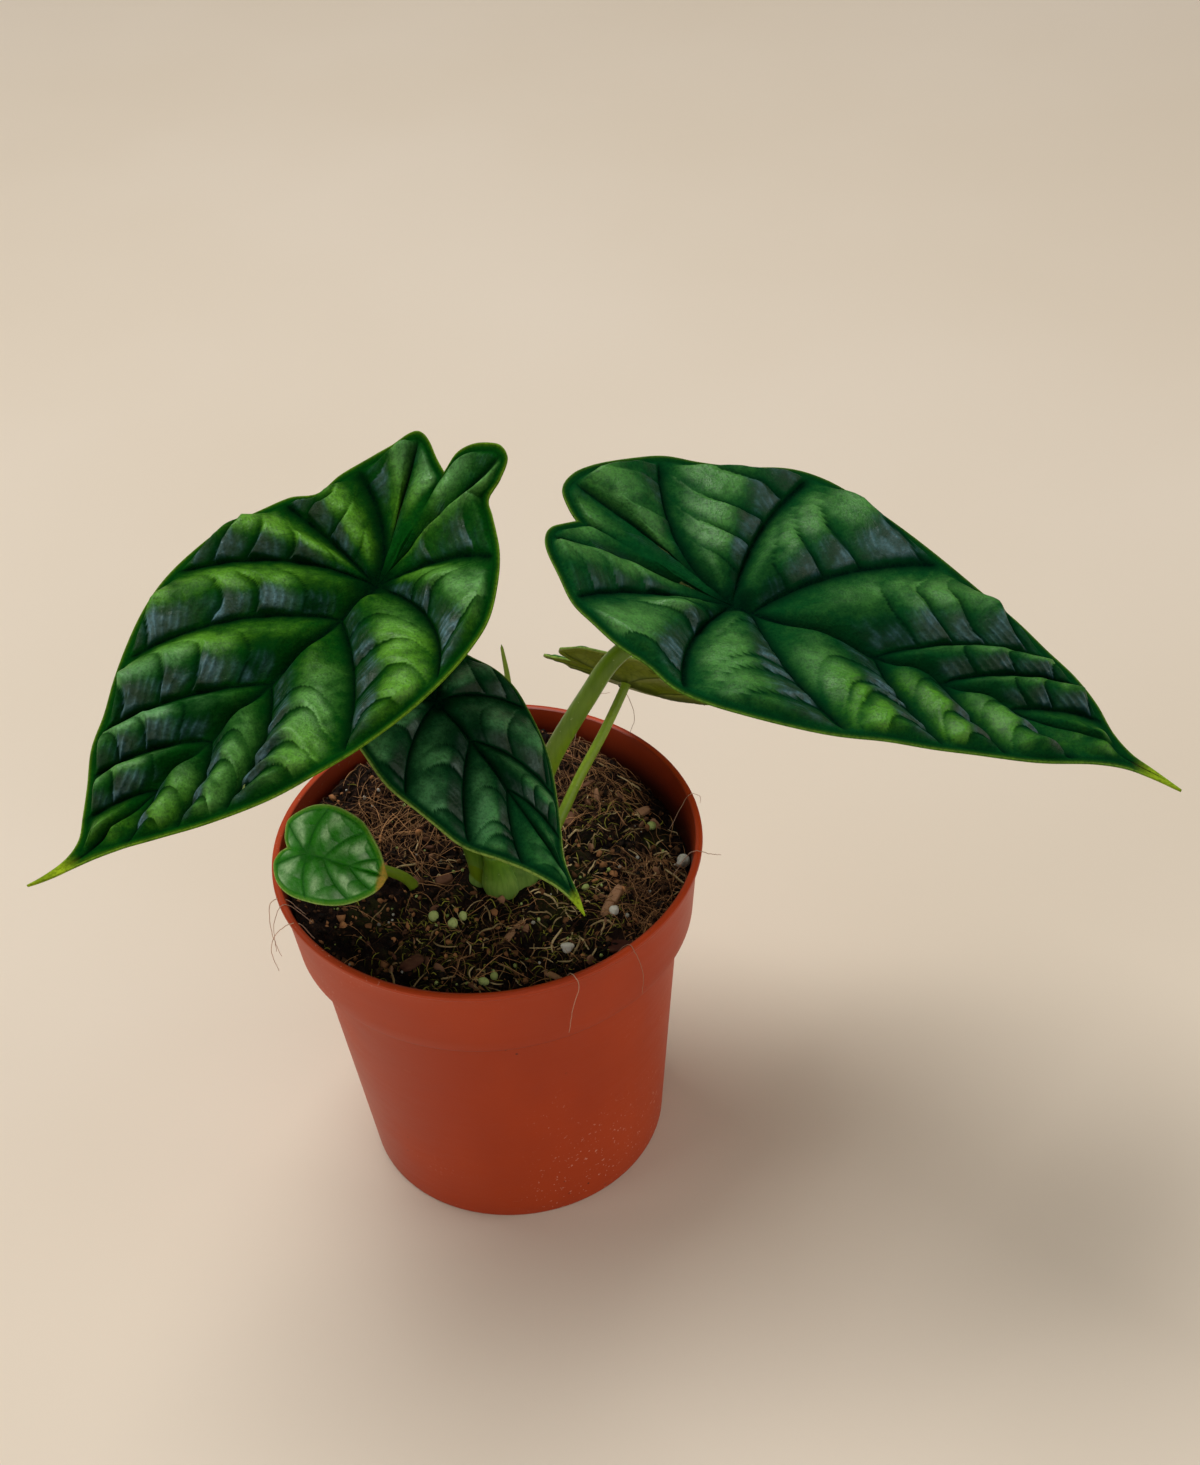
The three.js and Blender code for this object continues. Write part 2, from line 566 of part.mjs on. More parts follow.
function makeSoil() {
  const inside = (r) => r - POT_WALL - GAP - 0.15;
  const bottom = 1.4 + FLOOR_THICKNESS + GAP;
  const rows = [[0, bottom], [36, bottom], [39.2, bottom + 0.2],
    [inside(BASE_RADIUS) - 1.4, bottom + 1.3], [inside(BASE_RADIUS), bottom + 2.6],
    [inside(BODY_TOP_RADIUS), COLLAR_BOTTOM_Z - 0.6],
    [inside(COLLAR_RADIUS) - 0.3, COLLAR_BOTTOM_Z + 2.4]];
  const reach = inside(COLLAR_RADIUS) + 0.9;
  for (const part of [1, 0.96, 0.9, 0.83, 0.75, 0.66, 0.57, 0.48, 0.38, 0.28, 0.16, 0]) {
    rows.push([reach * part, SOIL_LEVEL]);
  }
  const surface = (x, y, z) => [x, y, z === SOIL_LEVEL ? soilHeight(x, y) : z];
  let soil = toSolid(turned(rows, 44, surface));
  soil = soil.subtract(crownSolid(GAP));
  soil = soil.subtract(toSolid(stalk(STALKS.leaf_stalk_young, 12, 12, GAP)));
  for (const spec of CHIPS) soil = soil.subtract(toSolid(chip(spec, GAP)));
  return fromSolid(soil);
}

// The scene graph
const plant = new THREE.Group();

function addPiece(name, geometry, color, roughness) {
  const material = new THREE.MeshStandardMaterial({ color, roughness, metalness: 0 });
  const mesh = new THREE.Mesh(geometry, material);
  mesh.name = name;
  plant.add(mesh);
}

addPiece('pot', makePot(), 0xa8492c, 0.5);
addPiece('soil', makeSoil(), 0x2b2019, 0.95);
addPiece('crown', makeCrown(), 0x86a84a, 0.55);
for (const [name, path] of Object.entries(STALKS)) {
  const steps = name === 'rolled_leaf' ? 8 : 12;
  const geometry = fromSolid(toSolid(stalk(path, 10, steps)));
  addPiece(name, geometry, name === 'rolled_leaf' ? 0x8fae3c : 0x6f9632, 0.5);
}
const BLADE_COLORS = [0x1f5a2c, 0x1c5230, 0x1a4a30, 0x5f692d, 0x3f8a3a];
LEAVES.forEach((leaf, i) => addPiece(leaf.name, blade(leaf), BLADE_COLORS[i], 0.42));
addPiece('bark_chip', fromSolid(toSolid(chip(CHIPS[0], 0))), 0x7a3a26, 0.9);
addPiece('wood_flake', fromSolid(toSolid(chip(CHIPS[1], 0))), 0x9a7658, 0.9);

export default plant;
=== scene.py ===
import json
import math

import bmesh
import bpy
import numpy as np
from mathutils import Euler, Matrix, Vector

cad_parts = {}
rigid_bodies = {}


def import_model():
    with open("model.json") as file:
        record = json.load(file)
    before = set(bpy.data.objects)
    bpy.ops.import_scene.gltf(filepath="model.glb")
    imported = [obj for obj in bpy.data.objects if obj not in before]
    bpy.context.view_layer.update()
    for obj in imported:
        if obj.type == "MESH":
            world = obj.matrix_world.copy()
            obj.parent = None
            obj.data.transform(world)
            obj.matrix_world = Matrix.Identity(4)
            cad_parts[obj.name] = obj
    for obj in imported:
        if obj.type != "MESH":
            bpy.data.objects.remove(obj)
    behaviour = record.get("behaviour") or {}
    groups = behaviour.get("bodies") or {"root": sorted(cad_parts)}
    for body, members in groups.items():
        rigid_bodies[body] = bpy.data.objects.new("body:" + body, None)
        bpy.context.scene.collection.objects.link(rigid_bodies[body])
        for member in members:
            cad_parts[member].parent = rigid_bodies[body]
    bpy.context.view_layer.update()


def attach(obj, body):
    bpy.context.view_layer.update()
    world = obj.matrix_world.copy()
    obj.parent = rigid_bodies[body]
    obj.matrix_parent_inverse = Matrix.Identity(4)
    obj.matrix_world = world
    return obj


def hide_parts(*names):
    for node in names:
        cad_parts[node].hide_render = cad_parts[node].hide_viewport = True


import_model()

# Potted dragon scale alocasia. Sizes are in millimetres unless a name says otherwise,
# and every mesh is scaled to metres when it is made.

MM = 0.001

# The pot, as in the part
POT_HEIGHT = 110
RIM_RADIUS = 60
COLLAR_BOTTOM_Z = 85
COLLAR_RADIUS = 56.4
BODY_TOP_RADIUS = 52.4
BASE_RADIUS = 44
POT_WALL = 1.3
FLOOR_THICKNESS = 1.8
DRAIN_COUNT = 8
DRAIN_RADIUS = 3.2
DRAIN_CIRCLE = 29
SOIL_LEVEL = 100.5
COLLAR_SLOPE = 0.1056
WALL_MIDDLE = 46.71
BLADE_THICKNESS = 0.9
CROWN_X = 4
CROWN_Y = -7.5

# The relief, in mm, of the big blades, which the smaller ones are scaled from
BIG_RELIEF = 1.9

# How lively the relief of the first two panels from the notch is
FIRST_PANELS = (0.12, 0.45)

# Full turns in radians, as the leaf material and the random draws round them
FULL_TURN = 6.2832
DRAW_TURN = 6.28

# Camera: its place in metres, its turn in degrees, and its lens
SENSOR_WIDTH = 36
CAMERA_PLACE = (0, -0.49364, 0.56218)
CAMERA_TURN = (49.696, 3.484, -6.879)
CAMERA_LENS = SENSOR_WIDTH * 2400 / 1465

# The part of the outline that both sides of the back blade share
BACK_EDGE = [(-12, 18.4), (-2, 21.3), (8.5, 22.3),
             (19, 20.4), (31, 16.5), (42, 11), (50, 6.3), (56, 2.7), (61, 0)]

# Leaf blades, laid out flat with x along the midrib and y across, then bent and placed.
# heading, pitch and roll are degrees; grid is the cell size in mm and the columns.
# Each side has its outline from the notch round to the tip and the ends on it of the
# main veins: fan veins start at the stalk, ribs at the stations along the midrib.
LEAVES = [
    dict(name="leaf_blade_left", upper="leaf_green", grid=(0.61, 88), stalk_end=(-20, 0.5, 201.5),
         heading=220.5, pitch=-12.5, roll=0, fold=0.09, cup=0.0017, droop=0, lift=0.014,
         curl=-0.015, curl_from=95, notch=-31, tip=115, relief=1.9, swell=1.95, steps=1.15,
         band=1.4, wave=0.35, stations=[13, 38, 59, 77], seed=3, sides=[
        dict(edge=[(-31, 0), (-35, 1.8), (-37.5, 5.7), (-39, 11.4), (-39.2, 16), (-37.5, 19.3),
              (-33.4, 19.1), (-29.4, 17.6), (-26.7, 20.8), (-20, 28.6), (-12, 34.5), (-2, 40),
              (8, 42.5), (20, 43.5), (32, 43), (45, 40), (56, 35), (64, 31), (72, 26), (80, 20),
              (88, 12.5), (95, 6), (100, 3), (105, 1.6), (110, 0.9), (115, 0)],
             fan=[(-37.5, 17.5, 0.22), (-18.5, 30, 0.28), (20, 43.5, 0.3)],
             ribs=[(48, 39.3, 0.12), (76, 23, 0.2), (85, 15.5, 0.2), (94, 7, 0.15)]),
        dict(edge=[(-31, 0), (-32.6, 3.6), (-34.6, 7.2), (-35.4, 9.6), (-35.3, 11.8), (-34, 14.2),
              (-30.6, 17.9), (-27, 22), (-19, 28.8), (-12, 31.6), (-7, 37.6), (2, 42.2), (11, 45),
              (22, 45.4), (33, 44.4), (43, 41.8), (52, 38), (61, 33), (70, 27), (79, 22), (87, 15),
              (94, 9), (99, 4.6), (104, 2.2), (110, 0.9), (115, 0)],
             fan=[(-35, 11, -0.1), (-22.5, 26, 0.22), (-5, 38.5, 0.06), (30, 43.4, 0.28)],
             ribs=[(57, 35.3, 0.26), (76, 23.6, 0.2), (86, 16, 0.2), (95, 8, 0.15)])]),
    dict(name="leaf_blade_right", upper="leaf_green_cool", grid=(0.61, 92),
         stalk_end=(69.5, -12, 191), heading=-25.5, pitch=-13, roll=0, fold=0.22, cup=0,
         droop=0.0005, lift=0.005, curl=-0.004, curl_from=95, notch=-44, tip=121, relief=1.9,
         swell=1.85, steps=1.05, band=1.6, wave=0.35, stations=[5, 38, 56, 74], seed=8, sides=[
        dict(edge=[(-44, 0), (-47, 1.8), (-50.5, 5.5), (-50, 11.5), (-46.5, 18), (-38, 28),
              (-31, 34.5), (-23, 38.5), (-11.5, 43.5), (-1, 48), (9, 49), (18, 47.5), (29, 43.5),
              (42.5, 38), (56, 32.5), (69, 27.3), (79.5, 21.5), (88, 17), (95, 12), (101, 6),
              (107, 2.4), (113, 1.2), (121, 0)],
             fan=[(-50.5, 9.5, -0.15), (-33, 33, 0.24), (6, 49, 0.17)],
             ribs=[(48, 35.8, 0.18), (84, 19.2, 0.2), (91, 15, 0.18), (99, 8, 0.15)]),
        dict(edge=[(-44, 0), (-45.5, 3), (-48, 9.5), (-48, 14.5), (-46, 19.5), (-40, 26.5),
              (-34, 33), (-27.5, 36), (-19, 40.3), (-11, 42.5), (-4, 46.5), (3, 48.2), (11, 48.6),
              (19, 47.6), (28, 45), (38, 41.3), (48, 36.5), (59.5, 32), (70, 26.3), (85, 18),
              (98.5, 8), (106.5, 3.6), (113, 1.8), (121, 0)],
             fan=[(-48, 14, 0.2), (-35, 32, 0.25), (0, 47.6, 0.2)],
             ribs=[(41, 40, 0.12), (63, 30.2, 0.12), (78, 22, 0.14), (94, 11.5, 0.15)])]),
    dict(name="leaf_blade_front", upper="leaf_green_shaded", grid=(0.46, 58),
         stalk_end=(-8, -23, 180.5), heading=-49, pitch=-30, roll=-2, fold=-0.2, cup=-0.0005,
         droop=0.004, lift=0.004, curl=0, curl_from=50, notch=-13, tip=64, relief=1.1, swell=1.6,
         steps=0.55, band=1.0, wave=0.4, stations=[13, 28], seed=14, sides=[
        dict(edge=[(-13, 0), (-18, 2.5), (-23, 7), (-23, 12), (-16, 15.8), (-7, 18.5), (0, 22),
              (8, 23.3), (15, 22.3), (23, 19.5), (31, 15.8), (38, 11.5), (44, 7), (49, 3.6),
              (54, 1.9), (59, 1.2), (64, 0)],
             fan=[(-23, 9, 0.1), (-8, 18.2, 0.2), (15, 22.3, 0.22)],
             ribs=[(38, 11.5, 0.2), (47, 5, 0.15)]),
        dict(edge=[(-13, 0), (-18, 2.5), (-23, 7), (-24, 13), (-18, 19), (-9, 22.5), (0, 23.7),
              (9, 24.2), (17, 23), (25, 20.8), (33, 18), (41, 12.3), (48, 7), (54, 3.5), (59, 1.5),
              (64, 0)],
             fan=[(-24, 10, 0.1), (-10, 22.3, 0.2), (15, 23.3, 0.2)],
             ribs=[(34, 17.4, 0.15), (46, 8.5, 0.15)])]),
    dict(name="leaf_blade_back", upper="leaf_green_shaded", grid=(0.6, 40),
         stalk_end=(44.7, 26.8, 139.4), heading=-8, pitch=-31, roll=-48, fold=0.08, cup=0.002,
         droop=-0.006, lift=-0.0025, curl=0, curl_from=50, notch=-17, tip=61, relief=0.9,
         swell=1.0, steps=0.2, band=1.5, wave=0.2, stations=[9, 24, 38], seed=21, sides=[
        dict(edge=[(-17, 0), (-19.6, 2.4), (-21.8, 4.4), (-23, 7), (-22.7, 9.5), (-20.5, 12.4),
              (-17, 15.1)] + BACK_EDGE,
             fan=[(-23, 8, 0.1), (-14, 17.3, 0.2), (8, 22.3, 0.2)],
             ribs=[(30, 16.9, 0.18), (43, 10.4, 0.18), (52, 5, 0.15)]),
        dict(edge=[(-17, 0), (-19.8, 2.4), (-22.6, 4.9), (-23.7, 7.8), (-23.3, 10.2),
              (-21.2, 13.1), (-17.7, 15.5)] + BACK_EDGE,
             fan=[(-23.7, 8.6, 0.1), (-14, 17.4, 0.2), (8, 22.3, 0.2)],
             ribs=[(30, 16.9, 0.18), (43, 10.4, 0.18), (52, 5, 0.15)])]),
    dict(name="leaf_blade_young", upper="leaf_green_young", grid=(0.36, 40),
         stalk_end=(-48, -15.5, 127.5), heading=-36, pitch=4, roll=45, fold=-0.04, cup=0,
         droop=0.003, lift=0, curl=0, curl_from=20, notch=-7, tip=24.5, relief=0.6, swell=1.0,
         steps=0.06, band=1.2, wave=0.3, stations=[5, 13], seed=30, sides=[
        dict(edge=[(-7, 0), (-8.8, 3), (-9, 7), (-5, 11.5), (1, 14), (7, 14), (13, 12.3),
              (18, 8.5), (21.5, 4.6), (24.5, 0)],
             fan=[(-9, 7, 0.1), (3, 14, 0.2)],
             ribs=[(16, 10.3, 0.15), (21.8, 4.2, 0.1)]),
        dict(edge=[(-7, 0), (-9, 2), (-9.8, 5), (-8.3, 9), (-3, 12), (4, 12.4), (11, 11.5),
              (17, 9), (21, 6), (23.5, 3), (24.5, 0)],
             fan=[(-9.6, 6, 0.1), (3, 12.4, 0.2)],
             ribs=[(16.5, 9.3, 0.15), (22, 5, 0.1)])]),
]


# Numbers, noise and curves

def smooth(low, high, x):
    t = np.clip((np.asarray(x, float) - low) / (high - low), 0, 1)
    return t * t * (3 - 2 * t)


def fade(low, high, x):
    return 1 - smooth(low, high, x)


def mix(a, b, t):
    return a * (1 - t) + b * t


def noise(x, y, seed):
    """Smooth value noise from -1 to 1 with cells one unit wide."""
    table = np.random.default_rng(seed).uniform(-1, 1, (64, 64))
    x, y = np.broadcast_arrays(np.asarray(x, float), np.asarray(y, float))
    i, j = np.floor(x).astype(int), np.floor(y).astype(int)
    u, v = x - i, y - j
    u, v = u * u * (3 - 2 * u), v * v * (3 - 2 * v)
    low = mix(table[i % 64, j % 64], table[(i + 1) % 64, j % 64], u)
    high = mix(table[i % 64, (j + 1) % 64], table[(i + 1) % 64, (j + 1) % 64], u)
    return mix(low, high, v)


def smooth_line(points, s):
    """Centripetal Catmull-Rom line; s runs from 0 to 1 by the number of the point."""
    points = np.asarray(points, float)
    last = len(points) - 1
    ends = (2 * points[0] - points[1], 2 * points[-1] - points[-2])
    padded = np.vstack([ends[0], points, ends[1]])
    place = np.clip(np.asarray(s, float), 0, 1) * last
    first = np.minimum(place.astype(int), last - 1)
    w = (place - first)[..., None]
    p0, p1, p2, p3 = (padded[first + i] for i in range(4))
    root = lambda a, b: np.sqrt(np.linalg.norm(b - a, axis=-1, keepdims=True)) + 1e-9
    d0, d1, d2 = root(p0, p1), root(p1, p2), root(p2, p3)
    t1 = ((p1 - p0) / d0 - (p2 - p0) / (d0 + d1) + (p2 - p1) / d1) * d1
    t2 = ((p2 - p1) / d1 - (p3 - p1) / (d1 + d2) + (p3 - p2) / d2) * d1
    cubic = 2 * p1 - 2 * p2 + t1 + t2
    square = -3 * p1 + 3 * p2 - 2 * t1 - t2
    return p1 + t1 * w + square * w ** 2 + cubic * w ** 3


# Meshes

def unit(vectors):
    """The same directions with length one."""
    return vectors / (np.linalg.norm(vectors, axis=-1, keepdims=True) + 1e-9)


def rgb(red, green, blue):
    """A linear colour from the usual 0 to 255 values."""
    values = np.array([red, green, blue]) / 255
    linear = np.where(values <= 0.04045, values / 12.92, ((values + 0.055) / 1.055) ** 2.4)
    return (*[float(v) for v in linear], 1.0)


def make_mesh(name, points, faces, materials, face_material=None, values=None, weld=0.0,
              outward=False):
    """A smooth-shaded object from points in mm; values are named numbers at the points."""
    mesh = bpy.data.meshes.new(name)
    mesh.from_pydata((np.asarray(points, float) * MM).tolist(), [], faces)
    for key, numbers in (values or {}).items():
        layer = mesh.attributes.new(key, "FLOAT", "POINT")
        layer.data.foreach_set("value", np.asarray(numbers, np.float32))
    if face_material is not None:
        mesh.polygons.foreach_set("material_index", np.asarray(face_material, np.int32))
    for material in materials:
        mesh.materials.append(material)
    shape = bmesh.new()
    shape.from_mesh(mesh)
    if weld:
        bmesh.ops.remove_doubles(shape, verts=shape.verts, dist=weld * MM)
        flat = [f for f in shape.faces if f.calc_area() < 1e-13]
        bmesh.ops.delete(shape, geom=flat, context="FACES")
    if outward:
        bmesh.ops.recalc_face_normals(shape, faces=shape.faces)
    for face in shape.faces:
        face.smooth = True
    shape.to_mesh(mesh)
    shape.free()
    item = bpy.data.objects.new(name, mesh)
    bpy.context.scene.collection.objects.link(item)
    return item


def turned(r, z, angle):
    """Points at the radius r and height z, turned round the pot's axis."""
    return np.stack([r * np.cos(angle), r * np.sin(angle), z + 0 * angle], -1)


def grid_faces(rows, columns, start=0, closed=False, flip=False):
    i, j = np.meshgrid(np.arange(rows - 1), np.arange(columns if closed else columns - 1),
                       indexing="ij")
    a = start + i * columns + j
    b = start + i * columns + (j + 1) % columns
    faces = np.stack([a, b, b + columns, a + columns], -1).reshape(-1, 4)
    if flip:
        faces = faces[:, ::-1]
    return faces.tolist()


def tube_frames(centres):
    """Two directions square to a line of centres, and to each other, untwisted."""
    along = np.gradient(centres, axis=0)
    along /= np.linalg.norm(along, axis=1, keepdims=True) + 1e-12
    side = np.zeros_like(along)
    start = np.array([1.0, 0.2, 0.1]) if abs(along[0][0]) < 0.8 else np.array([0, 1.0, 0.1])
    for i, direction in enumerate(along):
        start = start - direction * (start @ direction)
        start = start / np.linalg.norm(start)
        side[i] = start
    return side, np.cross(along, side)


def tube(centres, radii, sides, shape=None):
    """Points and faces of a closed tube; shape(angle, part) scales the radius."""
    side, other = tube_frames(centres)
    angle = np.arange(sides) * 2 * np.pi / sides
    part = np.linspace(0, 1, len(centres))[:, None]
    reach = np.asarray(radii, float).reshape(-1, 1) * np.ones(sides)
    if shape is not None:
        reach = reach * shape(angle[None, :], part)
    ring = (centres[:, None, :] + reach[..., None] * (
        np.cos(angle)[None, :, None] * side[:, None, :]
        + np.sin(angle)[None, :, None] * other[:, None, :]))
    points = np.vstack([ring.reshape(-1, 3), centres[:1], centres[-1:]])
    faces = grid_faces(len(centres), sides, closed=True)
    first, last = len(points) - 2, len(points) - 1
    top = (len(centres) - 1) * sides
    for j in range(sides):
        k = (j + 1) % sides
        faces.append([first, k, j])
        faces.append([last, top + j, top + k])
    return points, faces


def stand_for(item, node):
    """Makes a fine piece stand for a solid of the part."""
    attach(item, "root")
    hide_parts(node)


class Pile:
    """Gathers many bodies into one mesh, with one number at each point."""

    def __init__(self, key="tint"):
        self.key = key
        self.points, self.faces, self.numbers, self.size = [], [], [], 0

    def add(self, points, faces, number):
        self.points.append(np.asarray(points, float))
        self.faces.extend([[i + self.size for i in face] for face in faces])
        self.numbers.append(np.broadcast_to(np.asarray(number, float), (len(points),)))
        self.size += len(points)

    def build(self, name, material):
        return make_mesh(name, np.vstack(self.points), self.faces, [material],
                         values={self.key: np.concatenate(self.numbers)})

    def lay_loose(self, name, material, slot="potting_mix"):
        """Builds a piece that stands for no solid of the part."""
        item = self.build(name, material)
        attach(item, "root")


# Materials

class Nodes:
    """Short names for building a node tree; body is the colour that is painted on so far."""

    def __init__(self, name):
        self.material = bpy.data.materials.new(name)
        self.material.use_nodes = True
        self.tree = self.material.node_tree
        self.shader = self.tree.nodes["Principled BSDF"]
        self.place = self.node("ShaderNodeTexCoord").outputs["Object"]
        self.body = None

    def put(self, value, socket):
        if isinstance(value, bpy.types.NodeSocket):
            self.tree.links.new(value, socket)
        else:
            socket.default_value = value

    def node(self, kind, inputs=None, **settings):
        made = self.tree.nodes.new(kind)
        for key, value in settings.items():
            setattr(made, key, value)
        for key, value in (inputs or {}).items():
            self.put(value, made.inputs[key])
        return made

    def value(self, name):
        return self.node("ShaderNodeAttribute", attribute_name=name).outputs["Fac"]

    def math(self, kind, a, b=0.5, c=0.5, clamp=False):
        made = self.node("ShaderNodeMath", {0: a, 1: b, 2: c}, operation=kind, use_clamp=clamp)
        return made.outputs[0]

    def times(self, a, b):
        return self.math("MULTIPLY", a, b)

    def plus(self, a, b):
        return self.math("ADD", a, b)

    def noise(self, scale, detail=4, roughness=0.55, stretch=None):
        place = self.place
        if stretch is not None:
            mapping = self.node("ShaderNodeMapping", {"Vector": place, "Scale": stretch})
            place = mapping.outputs["Vector"]
        made = self.node("ShaderNodeTexNoise", {"Vector": place, "Scale": scale,
                                                "Detail": detail, "Roughness": roughness})
        return made.outputs["Fac"]

    def cells(self, scale, feature="F1"):
        made = self.node("ShaderNodeTexVoronoi", {"Vector": self.place, "Scale": scale},
                         feature=feature)
        return made.outputs["Distance"]

    def ramp(self, value, low, high, out_low=0.0, out_high=1.0):
        made = self.node("ShaderNodeMapRange", {
            "Value": value, "From Min": low, "From Max": high,
            "To Min": out_low, "To Max": out_high}, interpolation_type="SMOOTHSTEP")
        return made.outputs["Result"]

    def mix(self, factor, a, b):
        made = self.node("ShaderNodeMix", {"Factor": factor, "A": a, "B": b}, data_type="RGBA")
        return made.outputs["Result"]

    def paint(self, mask, colour):
        self.body = self.mix(mask, self.body, colour)

    def coat(self, value, low, high, most, colour):
        """Paints a colour on as a value goes from low to high, up to the share most."""
        self.paint(self.ramp(value, low, high, 0, most), colour)

    def bump(self, height, distance, strength=1.0, normal=None):
        made = self.node("ShaderNodeBump", {
            "Height": height, "Distance": distance, "Strength": strength})
        if normal is not None:
            self.put(normal, made.inputs["Normal"])
        return made.outputs["Normal"]

    def finish(self, roughness, normal, **constants):
        self.put(self.body, self.shader.inputs["Base Color"])
        self.put(roughness, self.shader.inputs["Roughness"])
        self.put(normal, self.shader.inputs["Normal"])
        for key, value in constants.items():
            self.shader.inputs[key.replace("_", " ")].default_value = value
        return self.material


# The colours of each kind of upper face: deep vein and painted shade, middle, crest, cool
# crest as a painted sheen, painted sheen on the flank, margin, thin edge and tip
LEAF_COLORS = {
    "leaf_green": ((0, 11, 7), (8, 63, 13), (88, 151, 28), (90, 150, 88),
                   (102, 144, 156), (14, 66, 10), (96, 132, 34), (150, 176, 34)),
    "leaf_green_cool": ((0, 13, 10), (9, 64, 28), (72, 138, 20), (68, 130, 54),
                        (88, 130, 140), (10, 58, 18), (90, 128, 44), (140, 168, 34)),
    "leaf_green_shaded": ((0, 11, 7), (10, 64, 32), (60, 136, 60), (84, 152, 98),
                          (140, 172, 164), (18, 78, 32), (140, 168, 80), (150, 180, 40)),
    # The young leaf's crest and cool crest are made pale as a painted whitish sheen
    "leaf_green_young": ((14, 98, 4), (40, 134, 12), (120, 190, 84), (164, 212, 150),
                         (206, 230, 200), (78, 150, 30), (160, 196, 100), (186, 150, 60)),
}


def leaf_material(name, gloss, sheen=1.0, shine=0.0, ribbed=0.4):
    """The quilted upper face: dark veins with painted shade beside them, bright crests,
    painted shade and a painted silvery sheen on the flanks, a plain margin.
    """
    deep, middle, crest, cool, sheen_paint, margin, edge, tip = (
        rgb(*color) for color in LEAF_COLORS[name])
    n = Nodes(name)
    shade = n.mix(0.6, middle, deep)
    vein, flank = n.value("vein"), n.value("flank")
    blotch = n.noise(75, 5, 0.62)
    patch = n.noise(190, 3, 0.5)
    grain = n.noise(1300, 4, 0.65)
    pucker = n.cells(300, "SMOOTH_F1")
    flute = n.math("SINE", n.times(n.value("flute"), FULL_TURN), 0.0)
    flute = n.times(n.math("POWER", n.math("MULTIPLY_ADD", flute, 0.5), 2.0),
                    n.ramp(patch, 0.35, 0.65, 0.15, 1.0))
    pores = n.plus(n.times(blotch, 0.55), n.times(n.noise(420, 4, 0.7), 0.5))
    lift = n.plus(n.value("crest"), pores)
    # Broad patches of the crests take the cool colour, a painted sheen
    crest_and_sheen = n.mix(n.ramp(n.noise(13, 1), 0.42, 0.58), crest, cool)
    n.body = n.mix(n.ramp(lift, 0.5, 1.55), middle, crest_and_sheen)
    # Painted shade on the flanks, which face the tip
    n.coat(flank, 0.1, 0.85, 0.85, shade)
    # Painted highlights along the flutes and in patches across each flank, in the sheen colour
    light = n.times(n.math("MULTIPLY_ADD", flute, ribbed, n.ramp(patch, 0.25, 0.8)), flank)
    n.coat(light, 0.05, 1.3, 0.75 * sheen, sheen_paint)
    # The deep colour on the vein mark: dark veins, and the painted shade beside them
    n.coat(vein, 0.05, 0.95, 0.95, deep)
    n.coat(n.value("band"), 0.3, 0.9, 0.8, margin)
    n.coat(n.value("rim"), 0.4, 0.95, 0.85, edge)
    n.coat(n.value("tip"), 0.1, 0.9, 1, tip)
    n.coat(grain, 0.4, 0.7, 0.5, shade)
    fleck = n.times(n.ramp(n.cells(170), 0.034, 0.02), n.ramp(n.noise(45, 1), 0.58, 0.66))
    n.paint(n.times(fleck, 0.6), rgb(200, 215, 190))
    n.coat(pucker, 0.45, 0.8, 0.35, n.mix(0.5, middle, deep))
    normal = n.bump(grain, 0.0004, 0.7)
    normal = n.bump(pucker, 0.0006, 0.5, normal)
    normal = n.bump(n.noise(240, 4, 0.6), 0.0012, 0.5, normal)
    normal = n.bump(n.times(flute, flank), 0.0008 * ribbed, 0.8, normal)
    rough = n.ramp(n.plus(blotch, n.times(grain, 0.4)), 0.4, 1.0, gloss - 0.06, gloss + 0.12)
    bright = n.math("MAXIMUM", flank, n.times(n.value("crest"), 0.85))
    bright = n.times(bright, n.ramp(vein, 0.1, 0.7, 1, 0))
    n.put(n.ramp(bright, 0.1, 0.9, shine, shine + 0.42 * sheen),
          n.shader.inputs["Specular IOR Level"])
    return n.finish(rough, normal)


def underside_material(name, tissue, vein, edge):
    n = Nodes(name)
    blotch = n.noise(90, 5, 0.6)
    net = n.cells(330, "DISTANCE_TO_EDGE")
    n.body = n.mix(n.ramp(blotch, 0.3, 0.7), tissue, n.mix(0.5, tissue, edge))
    n.paint(n.ramp(net, 0.0, 0.12, 0.35, 0), vein)
    n.coat(n.value("vein"), 0.3, 0.9, 1, vein)
    n.coat(n.value("rim"), 0.5, 0.95, 1, edge)
    normal = n.bump(net, 0.00025, 0.4, n.bump(n.noise(1300), 0.0001, 0.4))
    return n.finish(n.ramp(blotch, 0.2, 0.8, 0.5, 0.66), normal, Specular_IOR_Level=0.4)


def stalk_material(name, low, high, stripe):
    """A smooth fleshy stalk: paler low down, with fine lengthwise lines and flecks."""
    n = Nodes(name)
    lines = n.noise(30, 3, 0.5, stretch=(40, 40, 1.5))
    n.body = n.mix(n.ramp(n.value("part"), 0.0, 0.6), low, high)
    n.coat(n.noise(150, 5), 0.35, 0.75, 0.5, stripe)
    n.coat(lines, 0.4, 0.7, 0.35, stripe)
    n.coat(n.cells(420), 0.12, 0.05, 0.35, rgb(190, 205, 130))
    normal = n.bump(lines, 0.0002, 0.5, n.bump(n.noise(1200, 3), 0.00008, 0.4))
    return n.finish(n.ramp(lines, 0.3, 0.7, 0.34, 0.46), normal, Subsurface_Weight=0.06,
                    Subsurface_Scale=0.003, Specular_IOR_Level=0.45)


def tinted_material(name, dark, light, rough=0.9):
    """Loose bits of one kind; the tint number sets how light each one is."""
    n = Nodes(name)
    change = n.times(n.math("SUBTRACT", n.noise(500, 4), 0.5), 0.35)
    n.body = n.mix(n.math("ADD", n.value("tint"), change, clamp=True), dark, light)
    n.coat(n.noise(1530, 3), 0.5, 0.8, 0.5, dark)
    return n.finish(rough, n.bump(n.noise(900, 5, 0.65), 0.0003, 0.8), Specular_IOR_Level=0.2)


